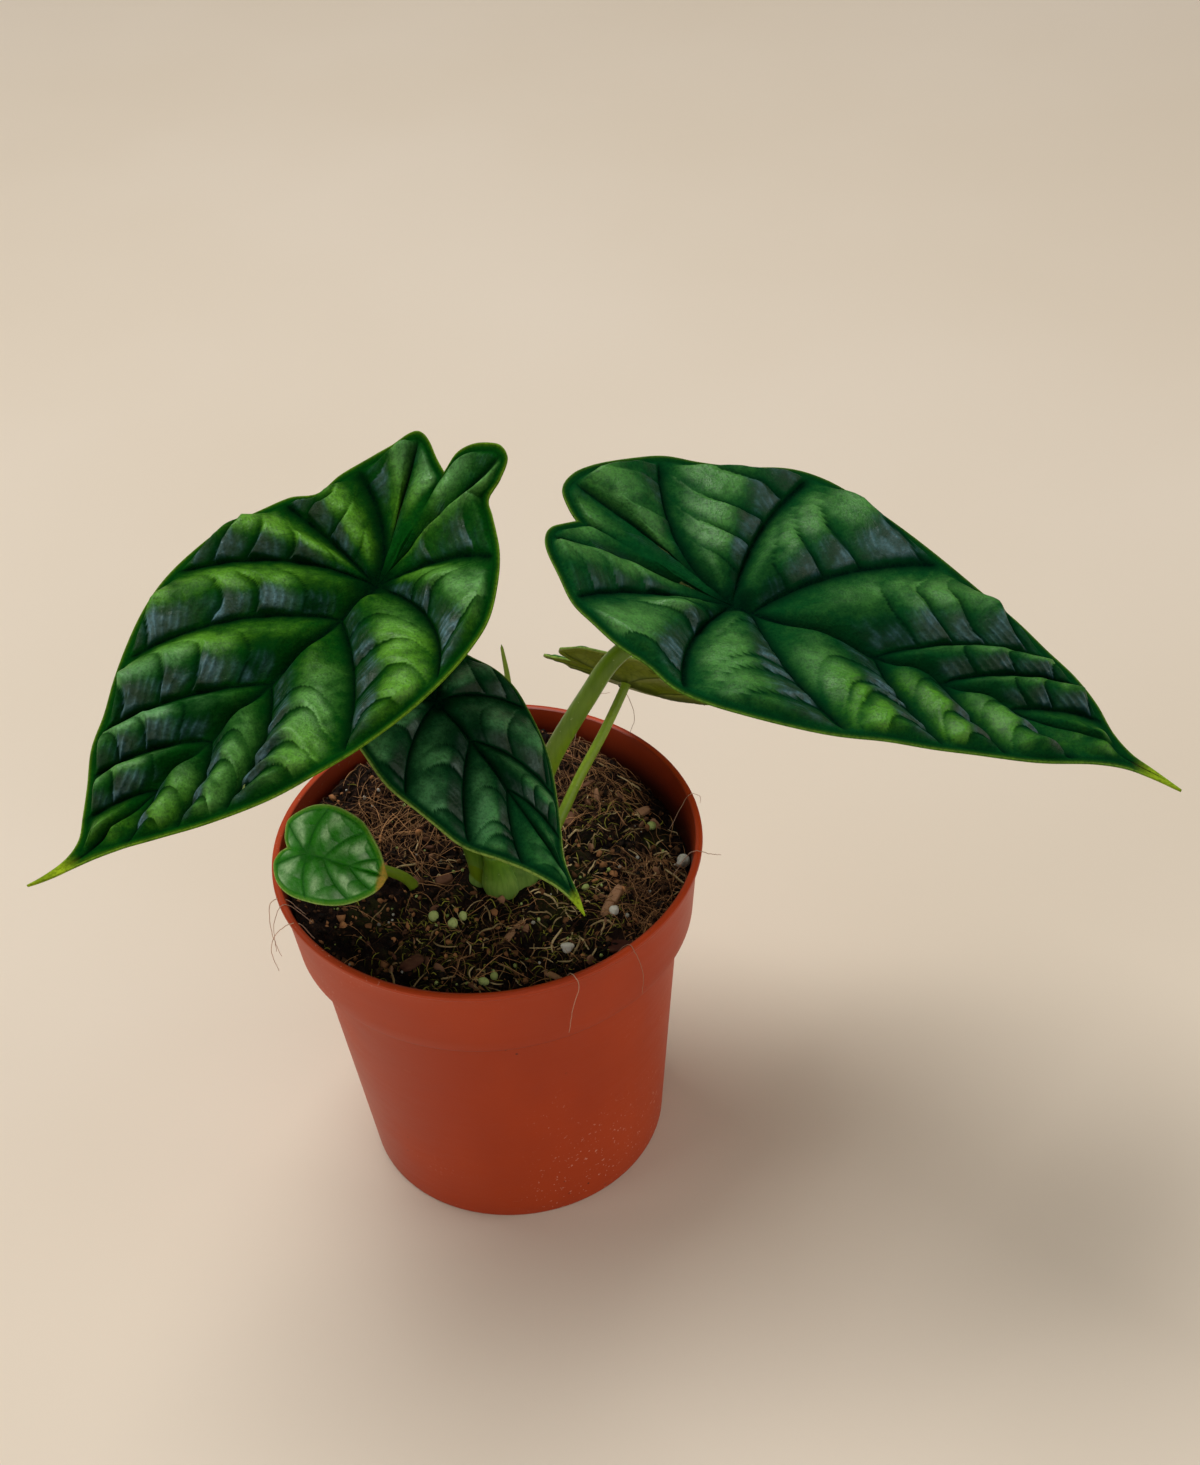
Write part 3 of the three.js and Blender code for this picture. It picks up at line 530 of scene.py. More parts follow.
def soil_material():
    n = Nodes("potting_mix")
    coarse = n.noise(160, 6, 0.65)
    fine = n.noise(900, 5, 0.7)
    n.body = n.mix(n.ramp(coarse, 0.35, 0.7), rgb(8, 4, 3), rgb(32, 18, 11))
    n.coat(fine, 0.54, 0.76, 0.8, rgb(98, 64, 40))
    n.coat(n.noise(55, 3), 0.55, 0.7, 0.45, rgb(52, 58, 22))
    wet = n.ramp(coarse, 0.3, 0.7, 0.95, 0.7)
    normal = n.bump(fine, 0.0008, 1.0, n.bump(n.cells(420), 0.0008, 0.8))
    return n.finish(wet, normal, Specular_IOR_Level=0.12)


def pot_material():
    """Terracotta coloured plastic with soft mould streaks, dust and tiny scratches, with painted
    shade on the inner wall, darkest at the soil, and in a band just below the collar."""
    n = Nodes("pot_plastic")
    cloud = n.noise(16, 4, 0.5)
    streaks = n.noise(14, 4, 0.6, stretch=(1, 1, 0.12))
    scratch = n.noise(60, 6, 0.7, stretch=(1, 1, 9))
    n.body = n.mix(n.ramp(cloud, 0.3, 0.75), rgb(164, 52, 6), rgb(184, 64, 13))
    n.coat(streaks, 0.45, 0.75, 0.35, rgb(150, 43, 8))
    speck = n.times(n.ramp(n.cells(190), 0.1, 0.06), n.ramp(n.noise(60, 2), 0.56, 0.64))
    n.paint(speck, rgb(70, 32, 22))
    pale = n.times(n.ramp(n.noise(900, 2), 0.64, 0.72), n.ramp(cloud, 0.48, 0.66))
    n.paint(n.times(pale, 0.55), rgb(225, 180, 160))
    n.coat(scratch, 0.68, 0.74, 0.22, rgb(214, 150, 122))
    # Painted shade on the inner wall: dark red-brown, strongest at the soil and weaker towards the
    # lip
    across, ahead, up = n.node("ShaderNodeSeparateXYZ", {"Vector": n.place}).outputs
    radius = n.math("SQRT", n.plus(n.math("POWER", across, 2.0), n.math("POWER", ahead, 2.0)))
    wall = n.math("SUBTRACT", radius, n.math("MULTIPLY_ADD", up, COLLAR_SLOPE, WALL_MIDDLE * MM))
    inside = n.times(n.ramp(wall, 0.0001, -0.0001), n.ramp(up, 0.088, 0.09))
    low = n.ramp(n.plus(up, n.times(cloud, 0.006)), 0.1, 0.112, 1, 0.45)
    n.paint(n.times(inside, low), rgb(52, 15, 6))
    # Painted shade in a band just below the collar step
    step_shade = n.times(n.ramp(up, 0.0815, 0.0842), n.ramp(up, 0.0858, 0.0846))
    n.paint(n.times(step_shade, 0.55), rgb(92, 26, 6))
    grain = n.bump(n.noise(2600, 2), 0.00005, 0.6, n.bump(streaks, 0.0004, 0.25))
    rough = n.ramp(n.plus(cloud, n.times(scratch, 0.4)), 0.4, 1.0, 0.38, 0.55)
    return n.finish(rough, grain, Specular_IOR_Level=0.27)


def floor_material():
    n = Nodes("pale_floor")
    n.body = n.mix(n.ramp(n.noise(3, 3, 0.5), 0.3, 0.7), rgb(222, 209, 190), rgb(226, 214, 197))
    return n.finish(0.85, n.bump(n.noise(300, 4), 0.0002, 0.15), Specular_IOR_Level=0.2)


# Leaf blades

def blade_axes(leaf):
    """Along the midrib, across it, and up out of the upper face."""
    h, p, r = (math.radians(leaf[key]) for key in ("heading", "pitch", "roll"))
    along = np.array([math.cos(h) * math.cos(p), math.sin(h) * math.cos(p), math.sin(p)])
    level = np.array([-math.sin(h), math.cos(h), 0])
    across = level * math.cos(r) + np.cross(along, level) * math.sin(r)
    return along, across, np.cross(along, across)


def bent_height(leaf, x, y):
    fold = leaf["fold"] * (np.sqrt(y * y + 9) - 3) + leaf["cup"] * y * y
    return (fold - leaf["droop"] * np.maximum(0, x) ** 2
            + leaf["lift"] * np.minimum(0, x) ** 2)


def place_on_leaf(leaf, x, y, height):
    along, across, up = blade_axes(leaf)
    bend = leaf["curl"] * np.maximum(0, x - leaf["curl_from"]) ** 2
    z = bent_height(leaf, x, y) + height
    return (np.array(leaf["stalk_end"]) + x[..., None] * along
            + (y + bend)[..., None] * across + z[..., None] * up)


def row_points(row, t, outline):
    """Points of rows from the midrib, t = 0, to the outline, t = 1."""
    x0, s, bow = row
    end = smooth_line(outline, s)
    dx, dy = end[..., 0] - x0, end[..., 1]
    cx, cy = x0 + dx / 2 - bow * dy, dy / 2 + bow * dx
    a, b, c = (1 - t) ** 2, 2 * t * (1 - t), t * t
    return a * x0 + b * cx + c * end[..., 0], np.maximum(0, b * cy + c * end[..., 1])


def side_veins(leaf, side):
    """Every main vein of a side as its start on the midrib, its end and its bow."""
    s = np.linspace(0, 1, 1601)
    line = smooth_line(side["edge"], s)
    place = lambda x, y: s[np.argmin(np.hypot(line[:, 0] - x, line[:, 1] - y))]
    veins = [(leaf["notch"], 0.0, 0.0)]
    veins += [(0.0, place(x, y), bow) for x, y, bow in side["fan"]]
    veins += [(at, place(x, y), bow)
              for at, (x, y, bow) in zip(leaf["stations"], side["ribs"])]
    veins.append((leaf["tip"], 1.0, 0.0))
    return veins


# Marks at the points; vein also carries painted shade, and flank painted shade and sheen
MARKS = ("vein", "crest", "flank", "band", "rim", "tip", "flute")


def side_grid(leaf, side, which, pitch, columns):
    """The fine grid of one side: its flat place, its relief and its marks."""
    veins = side_veins(leaf, side)
    edge = side["edge"]
    rng = np.random.default_rng(leaf["seed"] * 10 + which)
    nudge = 0.004
    t = np.linspace(0, 1, columns) ** 0.97
    grid = {key: [] for key in ("x", "y", "h") + MARKS}
    last = len(veins) - 2
    for k in range(last + 1):
        low, high = np.array(veins[k]), np.array(veins[k + 1])
        reach = smooth_line(edge, np.array([low[1], high[1]]))
        span = max(np.linalg.norm(reach[1] - reach[0]), high[0] - low[0])
        if k == 0:
            count = int(round(abs(leaf["notch"]) / pitch * 0.8))
        elif k < len(side["fan"]):
            count = int(np.clip(round(span / pitch), 10, 64))
        else:
            count = int(np.clip(round((high[0] - low[0]) / pitch * 1.7), 12, 60))
        u = np.linspace(0, 1, count + 1)[: count + 1 if k == last else count][:, None]
        tt = np.broadcast_to(t, (len(u), columns))
        row = [mix(low[i], high[i], u) for i in range(3)]
        x, y = row_points(row, tt, edge)
        ax, ay = row_points([low[i] + 0 * u for i in range(3)], tt, edge)
        bx, by = row_points([high[i] + 0 * u for i in range(3)], tt, edge)
        end = smooth_line(edge, row[1])
        length = np.hypot(end[..., 0] - row[0], end[..., 1])
        near = unit(smooth_line(edge, np.clip(row[1] + nudge, 0, 1))
                    - smooth_line(edge, np.clip(row[1] - nudge, 0, 1)))
        aim = unit(np.stack([x[:, -1:] - x[:, -2:-1], y[:, -1:] - y[:, -2:-1]], -1))
        slant = np.abs(aim[..., 0] * near[..., 1] - aim[..., 1] * near[..., 0])
        wave = leaf["wave"] * tt ** 3 * np.sin(np.pi * row[1]) \
            * np.sin(2 * np.pi * (5.5 * row[1] + 0.2 * which))
        panel = panel_relief(leaf, k, k == last, rng, x, y, u + 0 * tt, tt,
                             np.hypot(bx - ax, by - ay), length + 0 * tt,
                             (1 - tt) * length * np.clip(slant, 0.25, 1), wave)
        for key, numbers in panel.items():
            grid[key].append(numbers)
    return {key: np.vstack(numbers) for key, numbers in grid.items()}


def panel_relief(leaf, k, is_last, rng, x, y, u, t, width, length, margin, wave):
    """The relief of one panel between two main veins: a pillow that is steep towards
    the tip of the leaf, stepped by side veins like scales, and finely fluted."""
    is_first = k == 0
    scale = leaf["relief"] / BIG_RELIEF
    seed = leaf["seed"] + 7 * k
    band = leaf["band"]
    blots = lambda size, number: noise(x / size, y / size, number)
    inner = smooth(-0.5, 5.0 * scale, t * length)
    if is_first:
        inner = np.maximum(inner, smooth(0, 0.25, u) * fade(0.55, 0.95, u))
    outer = smooth(band, band + 2.0 * scale, margin)
    area = inner * outer * np.minimum(1, width / (9 * scale)) ** 0.8
    lively = FIRST_PANELS[k] if k < len(FIRST_PANELS) else 1.0

    # Side veins: arcs that leave the vein on the tip side and sweep out to the margin
    side_count = max(2, int(round(np.median(length) / (13 * scale ** 0.7))))
    arc = t - (0.5 + 0.08 * rng.uniform(-1, 1)) * (1 - u) ** 2.6 + 0.03 * blots(7, seed)
    steps = 0.2 + (np.arange(side_count + 1) + rng.uniform(-0.3, 0.3, side_count + 1)) \
        * 0.84 / side_count
    index = np.clip(np.searchsorted(steps, arc.ravel()).reshape(arc.shape), 1, side_count)
    start, stop = steps[index - 1], steps[index]
    v = np.clip((arc - start) / (stop - start), 0, 1)
    strength = rng.uniform(0.35, 1.25, side_count + 2)[index]
    stepped = (arc > steps[0]) & (arc < steps[-1])
    scales = np.where(stepped, v ** 1.5 * fade(0.83, 1.0, v) * 1.15 * strength, 0) * lively
    top = mix(0.46, 0.52, lively) + 0.1 * scales + 0.05 * blots(9, seed + 11)
    rise = np.sin(np.pi / 2 * np.clip(u / top, 0, 1) ** 1.05) ** 1.3
    fall = np.cos(np.pi / 2 * np.clip((u - top) / (1 - top), 0, 1)) ** 0.85
    swell = leaf["swell"] * np.clip(width / (12 * scale), 0.5, 1.25)
    if is_first:
        swell = 0.7 * swell
    height = swell * np.where(u < top, rise, fall) * area - 0.3 * outer
    side_weight = smooth(0.12, 0.55, u) * fade(0.96, 1, u) * area
    height = height + leaf["steps"] * scales * side_weight
    gap = np.minimum(v, 1 - v) * (stop - start) * length
    side_vein = np.exp(-(gap / 0.45) ** 2) * side_weight * np.minimum(1, strength) * lively

    # Flutes across the flank, and wrinkles that follow the arcs
    beat = arc * length / (2.2 * scale ** 0.5) + 0.35 * 0.7 * blots(4, seed + 2)
    patch = 0.5 + 0.5 * blots(5, seed + 40)
    flank = smooth(0.5, 0.86, u) * fade(0.95, 1.0, u) * area
    ribs = np.sin(2 * np.pi * beat) * (0.1 + 0.9 * flank) * patch
    height = height + 0.13 * scale * ribs * area * lively
    height = height + 0.11 * blots(2.8, leaf["seed"] + 5) * outer

    # Sunken veins, and the collector vein inside the margin
    from_vein = np.minimum(u, 1 - u) * width
    if is_first:
        from_vein = (1 - u) * width
    if is_last:
        from_vein = np.minimum(u * width, np.abs(y))
    rib = np.abs(y) + 60 * fade(-4, 0.5, x)
    taper = fade(0.2 * leaf["tip"], leaf["tip"], x)
    veins = np.exp(-(from_vein / (0.5 * scale)) ** 2) * fade(0.8, 0.97, t)
    collector = np.exp(-((margin - band) / 0.5) ** 2) * smooth(0.06, 0.2, t)
    midrib = np.exp(-(rib / 1.2) ** 2)
    groove = 0.3 * veins + 0.14 * collector + (0.25 + 0.4 * taper) * midrib
    height = leaf["relief"] * height - 0.9 * scale * groove * smooth(0.2, 2, margin)
    height = height + wave - 0.25 * fade(0, 1.1, margin)

    # Marks for the colours; the vein mark also carries painted shade in the valleys, below
    # the side-vein steps and round the stalk junction
    # Painted shade in the valley on the inner side of each panel
    valley_shade = 0 * u if is_first else np.exp(-(u * width / (3.4 * scale)) ** 1.3)
    line = np.exp(-from_vein / (0.7 * scale))
    # Painted shade just below each side-vein step
    ledge_shade = np.exp(-v * (stop - start) * length / (1.8 * scale)) * side_weight * stepped
    dark = np.maximum.reduce([
        np.maximum(0.8 * valley_shade, line) * fade(0.9, 1.0, t),
        np.exp(-rib / (2.2 * scale)) * (0.3 + 0.7 * taper),
        0.5 * collector, 0.8 * ledge_shade * lively, 0.5 * side_vein,
        # Painted shade round the stalk junction
        0.8 * fade(2, 12 * scale, np.hypot(x, y))])
    mottle = blots(8, seed + 9) + 0.6 * blots(2.2, seed + 10)
    # The crest mark is the lighter tissue between the veins; its rise towards the top of each
    # side-vein step is painted light
    crest = np.exp(-((u - top + 0.12) / mix(0.42, 0.27, lively)) ** 2) * area
    crest = crest * (0.75 + 0.35 * mottle) * (0.35 + 0.65 * smooth(0.05, 0.45, t)) \
        * np.where(stepped, mix(0.9, 0.5 + 0.6 * smooth(0.05, 0.6, v), lively), 0.75)
    if is_first:
        crest = 0.9 * crest * smooth(0.1, 0.6, t)
    flank = flank * (0.25 + 0.75 * lively) * np.where(stepped, 0.3 + 0.8 * v ** 1.3, 0.6)
    tip = smooth(0.86, 0.97, x / leaf["tip"])
    return dict(
        x=x, y=y, h=height, vein=np.clip(dark, 0, 1), crest=np.clip(1.15 * crest, 0, 1),
        flank=np.clip(flank, 0, 1), flute=beat, rim=fade(0.1, 0.6, margin),
        band=fade(band - 0.4, band + 0.6, margin) * (1 - 0.5 * dark),
        tip=np.maximum(tip, 0.25 * fade(0.4, 1.4, margin)))


def make_blade(leaf, upper, lower, pitch, columns):
    """The two faces of a blade and the rounded edge that joins them."""
    points, faces, kinds = [], [], []
    values = {key: [] for key in MARKS}
    total = 0
    for which, side in enumerate(leaf["sides"]):
        sign = 1 if which == 0 else -1
        g = side_grid(leaf, side, which, pitch, columns)
        rows = len(g["x"])
        thick = mix(0.55, BLADE_THICKNESS, smooth(0, 3.5, (1 - g["rim"]) * 3.5))
        top = place_on_leaf(leaf, g["x"], sign * g["y"], g["h"])
        keep = np.unique(np.r_[0:columns:3, columns - 1])
        below = {key: g[key][:, keep] for key in g}
        taper = fade(0, leaf["tip"], below["x"])
        ridge = (0.35 + 0.9 * taper) * np.exp(-(below["y"] / 1.1) ** 2) * (below["x"] > 0)
        ridge = np.maximum(ridge, 0.5 * below["vein"] ** 2 * (1 - below["band"]))
        drop = thick[:, keep] + ridge * leaf["relief"] / BIG_RELIEF
        base = place_on_leaf(leaf, below["x"], sign * below["y"], below["h"] - drop)
        flip = sign < 0
        start = total
        points += [top.reshape(-1, 3), base.reshape(-1, 3)]
        low = start + rows * columns
        upper_faces = grid_faces(rows, columns, start, flip=not flip)
        lower_faces = grid_faces(rows, len(keep), low, flip=flip)
        rim = []
        for i in range(rows - 1):
            a = start + i * columns + columns - 1
            b = low + i * len(keep) + len(keep) - 1
            quad = [a, a + columns, b + len(keep), b]
            rim.append(quad if flip else quad[::-1])
        faces += upper_faces + lower_faces + rim
        kinds += [0] * len(upper_faces) + [1] * len(lower_faces) + [0] * len(rim)
        for key in values:
            values[key] += [g[key].ravel(), below[key].ravel()]
        total = low + rows * len(keep)
    values = {key: np.concatenate(parts) for key, parts in values.items()}
    blade = make_mesh(leaf["name"] + "_fine", np.vstack(points), faces, [upper, lower],
                      kinds, values, weld=0.02, outward=True)
    stand_for(blade, leaf["name"])


# Leaf stalks

def under_blade(leaf, radius, reach):
    """The last points of a stalk: square to the blade, and into its underside."""
    up = blade_axes(leaf)[2]
    end = np.array(leaf["stalk_end"], float)
    return [(*(end - up * depth), radius) for depth in (BLADE_THICKNESS + 0.4 + reach, 1.6)]


# The middle line of each stalk as x, y, z and radius
STALKS = {
    "leaf_stalk_left": [
        (-2.5, -7.5, 104, 3.2), (-4.5, -7.5, 124, 2.9), (-10, -5, 158, 2.6),
        (-16.5, -1, 187, 2.3)] + under_blade(LEAVES[0], 2.3, 4.5),
    "leaf_stalk_right": [
        (8.5, -7, 104, 3.2), (12.5, -6.5, 123, 3.0), (19.4, -6.7, 142, 2.8),
        (30.6, -8.2, 163.3, 2.6), (39.2, -10, 177.5, 2.45), (52, -11.5, 186.6, 2.3),
        (64.5, -12, 188.0, 1.9), (68.5, -12, 187.3, 1.1)],
    "leaf_stalk_front": [
        (2.5, -13, 104, 2.5), (0.5, -14.5, 125, 2.2), (-3.5, -18, 151, 1.9)]
    + under_blade(LEAVES[2], 1.7, 4),
    "leaf_stalk_back": [
        (13.5, -4, 103, 1.8), (21.5, 4.4, 111.5, 1.5), (27.9, 10.6, 119.5, 1.4),
        (36.1, 17.7, 128.6, 1.35)] + under_blade(LEAVES[3], 1.3, 1.6),
    "leaf_stalk_young": [
        (-19.5, -4.2, 94, 1.7), (-23.5, -6, 105, 1.5), (-32, -8.5, 113.5, 1.4),
        (-42, -10.5, 121, 1.3)] + under_blade(LEAVES[4], 1.2, 3),
    "rolled_leaf": [
        (6, 0.5, 104, 2.3), (9.5, 0.2, 135, 1.6), (10.7, 0.8, 163, 0.8),
        (10.1, 1.6, 176.5, 0.35)],
}


def make_stalk(name, material):
    steps, sides, flare = 90, 28, 0.3
    path = np.array(STALKS[name], float)
    s = np.linspace(0, 1, steps)
    radius = np.interp(s, np.linspace(0, 1, len(path)), path[:, 3])
    if name == "rolled_leaf":
        radius = radius * (1 - 0.75 * smooth(0.97, 1, s))
        furl = lambda a, part: 1 + 0.10 * np.cos(a - 9 * part) * (part < 1) \
            + 0.16 * smooth(0.75, 1.0, np.cos((a - 6 * part - 1) / 2) ** 2)
    else:
        radius = radius * (1 + flare * smooth(0.93, 1.0, s) ** 2)
        furl = lambda a, part: 1 + 0.02 * np.cos(3 * a + 4 * part) \
            - 0.07 * np.cos(a - 1.2) * smooth(0.3, 0.9, part)
    points, faces = tube(smooth_line(path[:, :3], s), radius, sides, furl)
    part = np.concatenate([np.repeat(s, sides), [0, 1]])
    stalk = make_mesh(name + "_fine", points, faces, [material], values={"part": part})
    stand_for(stalk, name)


# Crown: a corm with the leaf sheaths that wrap one another round it

CORM = [(0, 72), (4, 73), (8, 77), (10, 84), (9.6, 92), (8.6, 97), (7.2, 101), (5.2, 104),
        (2.5, 106), (0.2, 106.4)]
# Each sheath by its stalk: its length, how far it swells, and the place of its foot
SHEATHS = [
    ("leaf_stalk_left", 16, -0.6, (-5.5, -8.6)),
    ("leaf_stalk_right", 20, 4.4, (5, -8.4)),
    ("leaf_stalk_front", 14, 2.4, (4.9, -10.0)),
    ("leaf_stalk_back", 7, 1.2, (11, -5)),
    ("rolled_leaf", 9, 1.5, (6, -2)),
]
SHEATH_FOOT_Z = 96.5


def make_crown(material):
    rings, core_sides, sheath_sides = 44, 72, 48
    pile = Pile("part")
    s = np.linspace(0, 1, rings)
    ring = smooth_line(np.c_[CORM, np.zeros(len(CORM))], s)
    angle = np.linspace(0, 2 * np.pi, core_sides, endpoint=False)
    r, z = ring[:, :1], ring[:, 1:2]
    lobes = 1 + 0.04 * np.cos(3 * angle + 0.8)
    core = np.stack([CROWN_X + 1.1 * r * np.cos(angle) * lobes,
                     CROWN_Y + 0.9 * r * np.sin(angle) * lobes,
                     z + 0.5 * np.sin(2 * angle) + 0 * angle], -1)
    pile.add(core.reshape(-1, 3), grid_faces(rings, core_sides, closed=True),
             np.repeat(np.clip((ring[:, 1] - 92) / 20, 0, 1), core_sides))
    for number, (name, length, swell, base) in enumerate(SHEATHS):
        path = np.array(STALKS[name], float)
        line = smooth_line(path[:, :3], np.linspace(0, 0.5, 200))
        run = np.r_[0, np.cumsum(np.linalg.norm(np.diff(line, axis=0), axis=1))]
        foot = np.array([*base, SHEATH_FOOT_Z])
        upper = np.array([[np.interp(f * length, run, line[:, i]) for i in range(3)]
                          for f in (0.15, 0.45, 0.75, 1.0)])
        centres = smooth_line(np.vstack([foot, upper]), s)
        reach = path[0][3] + swell * fade(0.0, 0.95, s) + 0.3 - 0.3 * smooth(0.94, 1, s)
        turn = 1.3 * number
        wrap = lambda a, q: 1 + 0.03 * np.cos(a - turn) + 0.04 * smooth(
            0.95, 1, np.cos((a - turn - 0.5 * q) / 2) ** 2)
        points, faces = tube(centres, reach, sheath_sides, wrap)
        part = np.concatenate([np.repeat(0.1 + 0.6 * s, sheath_sides), [0, 0.75]])
        pile.add(points, faces, part)
    stand_for(pile.build("crown_fine", material), "crown")


# Pot

def pot_outline():
    """Radius and height round the pot's wall: up the outside, over the lip, down inside."""
    rim, top, collar, step = RIM_RADIUS, POT_HEIGHT, COLLAR_RADIUS, COLLAR_BOTTOM_Z
    body, base, floor = BODY_TOP_RADIUS, BASE_RADIUS, FLOOR_THICKNESS
    underside = [(0, 0), (18, 0), (18.6, 0.5), (19, 1.4), (39.5, 1.4), (40.1, 0.6), (40.5, 0),
                 (base - 0.8, 0), (base - 0.2, 0.25), (base, 0.9)]
    outside = [(body, step - 1.2), (body + 0.5, step - 0.7), (collar - 1.2, step - 0.4),
               (collar - 0.35, step - 0.1), (collar, step + 0.6)]
    lip = [(rim - 1.35, top - 3.1), (rim - 1.1, top - 2.5), (rim - 0.35, top - 1.95),
           (rim, top - 1.2), (rim - 0.1, top - 0.5), (rim - 0.6, top - 0.05),
           (rim - 1.3, top), (rim - 2.0, top - 0.35)]
    inside = [(rim - 1.0, top - 1.4), (rim - 1.3, top - 3), (collar, step + 2),
              (body, step - 0.4), (base + 0.1, floor + 2.2), (base - 1.4, floor + 1.2)]
    inside = [(r - POT_WALL, z) for r, z in inside]
    return underside + outside + lip + inside + [(39, 1.4 + floor), (0, 1.4 + floor)]


def drill_drains(pot):
    cutter_depth, cutter_z = 0.012, 0.002
    group = bpy.data.collections.new("drains")
    bpy.context.scene.collection.children.link(group)
    for i in range(DRAIN_COUNT):
        turn = 2 * math.pi * (i + 0.5) / DRAIN_COUNT
        across, ahead = math.cos(turn), math.sin(turn)
        bpy.ops.mesh.primitive_cylinder_add(
            vertices=32, radius=DRAIN_RADIUS * MM, depth=cutter_depth,
            location=(DRAIN_CIRCLE * MM * across, DRAIN_CIRCLE * MM * ahead, cutter_z))
        group.objects.link(bpy.context.object)
    drill = pot.modifiers.new("drains", "BOOLEAN")
    drill.operation = "DIFFERENCE"
    drill.operand_type = "COLLECTION"
    drill.collection = group
    drill.solver = "EXACT"
    bpy.context.view_layer.objects.active = pot
    bpy.ops.object.modifier_apply(modifier=drill.name)
    for cutter in list(group.objects):
        bpy.data.objects.remove(cutter)
    bpy.data.collections.remove(group)


def make_pot(material):
    segments, row_height, sharp_angle = 256, 3.5, math.radians(38)
    outline = pot_outline()
    rows = []
    for (r0, z0), (r1, z1) in zip(outline, outline[1:]):
        count = max(1, int(math.hypot(r1 - r0, z1 - z0) / row_height))
        rows += [(mix(r0, r1, i / count), mix(z0, z1, i / count)) for i in range(count)]
    rows.append(outline[-1])
    angle = np.linspace(0, 2 * np.pi, segments, endpoint=False)
    r, z = np.array(rows).T[:, :, None]
    lift = smooth(10, 80, z)
    dent = 1 + lift * (0.0016 * np.cos(2 * angle + 0.6) + 0.0009 * np.cos(5 * angle + 2))
    points = turned(r * dent, z, angle).reshape(-1, 3)
    pot = make_mesh("pot_fine", points, grid_faces(len(rows), segments, closed=True),
                    [material], weld=0.01)
    drill_drains(pot)
    bpy.ops.object.select_all(action="DESELECT")
    pot.select_set(True)
    bpy.ops.object.shade_smooth_by_angle(angle=sharp_angle)
    stand_for(pot, "pot")


# Soil

# Grains as x, y and size; the ones numbered in PERLITE are lumps of perlite
GRAINS = [(-17, -19, 1.5), (-12, -22, 1.5), (-9, -20, 1.3), (-5.5, -46, 1.4), (-2.5, -44, 1.2),
          (25.5, -14, 1.1), (54, -4.5, 1.9), (18, -36.5, 1.7), (32, -26.5, 1.5), (47, 9, 1.4)]
PERLITE = (6, 7, 8)
INSIDE_RADIUS = 55.2


def soil_height(x, y):
    """The height of the soil, as in the part, without the grains."""
    clods = (1.1 * np.sin(0.21 * x + 1.3) * np.cos(0.19 * y - 0.4)
             + 0.8 * np.sin(0.47 * x - 0.33 * y + 2.1) + 0.55 * np.cos(0.71 * y + 0.52 * x)
             + 0.35 * np.sin(1.13 * x + 0.4) * np.sin(1.05 * y + 1.9))
    reach = np.hypot(x, y)
    turn = np.arctan2(y, x)
    hollow = 5 * smooth(40, 54, reach) * np.maximum(0, np.cos(turn - 0.25)) ** 3
    return SOIL_LEVEL + 0.8 * clods - hollow - 1.5 * smooth(50, 56, reach)


def crumbly_height(x, y):
    reach, turn = np.hypot(x, y), np.arctan2(y, x)
    heaped = 5.5 * smooth(32, 53, reach) * np.maximum(0, np.cos(turn - 1.8)) ** 0.8
    from_crown = np.hypot(x - CROWN_X, y - CROWN_Y)
    heaped = heaped + 3.4 * (1 - smooth(9, 18, from_crown))
    rough = 0.9 * noise(x / 4.2, y / 4.2, 61) + 0.8 * noise(x / 1.9, y / 1.9, 62) \
        + 0.5 * noise(x / 0.8, y / 0.8, 63)
    return soil_height(x, y) + heaped + rough * (0.3 + 0.7 * smooth(10, 15, from_crown))


def ground(x, y):
    return float(crumbly_height(x, y))


def make_soil(material):
    inside = lambda r: r - POT_WALL - 0.25
    rings, segments = 106, 350
    angle = np.linspace(0, 2 * np.pi, segments, endpoint=False)
    rim = inside(COLLAR_RADIUS) + 1.0
    part = np.linspace(1, 0.004, rings)[:, None] ** 0.8
    x, y = rim * part * np.cos(angle), rim * part * np.sin(angle)
    top = np.stack([x, y, crumbly_height(x, y)], -1)
    sides = [(0.4, 3.6), (38, 3.6), (inside(BASE_RADIUS) - 1.6, 4.6),
             (inside(BASE_RADIUS), 6.2), (inside(BODY_TOP_RADIUS) - 0.2, COLLAR_BOTTOM_Z - 1),
             (inside(COLLAR_RADIUS) - 0.4, COLLAR_BOTTOM_Z + 2.4)]
    wall = np.stack([turned(r, z, angle) for r, z in sides])
    points = np.concatenate([wall, top]).reshape(-1, 3)
    faces = grid_faces(len(sides) + rings, segments, closed=True)
    stand_for(make_mesh("soil_fine", points, faces, [material]), "soil")


# Loose bits on the soil

def ball(detail):
    """Points and faces of a round body of radius 1."""
    shape = bmesh.new()
    bmesh.ops.create_icosphere(shape, subdivisions=detail, radius=1)
    points = np.array([v.co for v in shape.verts])
    faces = [[v.index for v in f.verts] for f in shape.faces]
    shape.free()
    return points, faces


def lump(rng, size, squash, detail, rough):
    """A rough closed pebble-like body of the given half sizes."""
    points, faces = ball(detail)
    wave = rng.uniform(1.5, 3.5, (3, 3))
    phase = rng.uniform(0, DRAW_TURN, 3)
    bumps = sum(np.sin(points @ wave[i] + phase[i]) for i in range(3)) / 3
    points = points * (1 + rough * bumps[:, None]) * np.array(squash) * size
    turn = np.array(Euler(rng.uniform(0, DRAW_TURN, 3)).to_matrix())
    return points @ turn.T, faces


def clear_of_crown(x, y, margin=9.5):
    return math.hypot((x - CROWN_X) / 1.15, y - CROWN_Y) > margin


def places(rng, count, limit):
    """Random places on the soil within a radius; the ones in the crown are left out."""
    for _ in range(count):
        radius = limit * math.sqrt(rng.uniform(0, 1))
        turn = rng.uniform(0, 2 * math.pi)
        x, y = radius * math.cos(turn), radius * math.sin(turn)
        if clear_of_crown(x, y):
            yield x, y


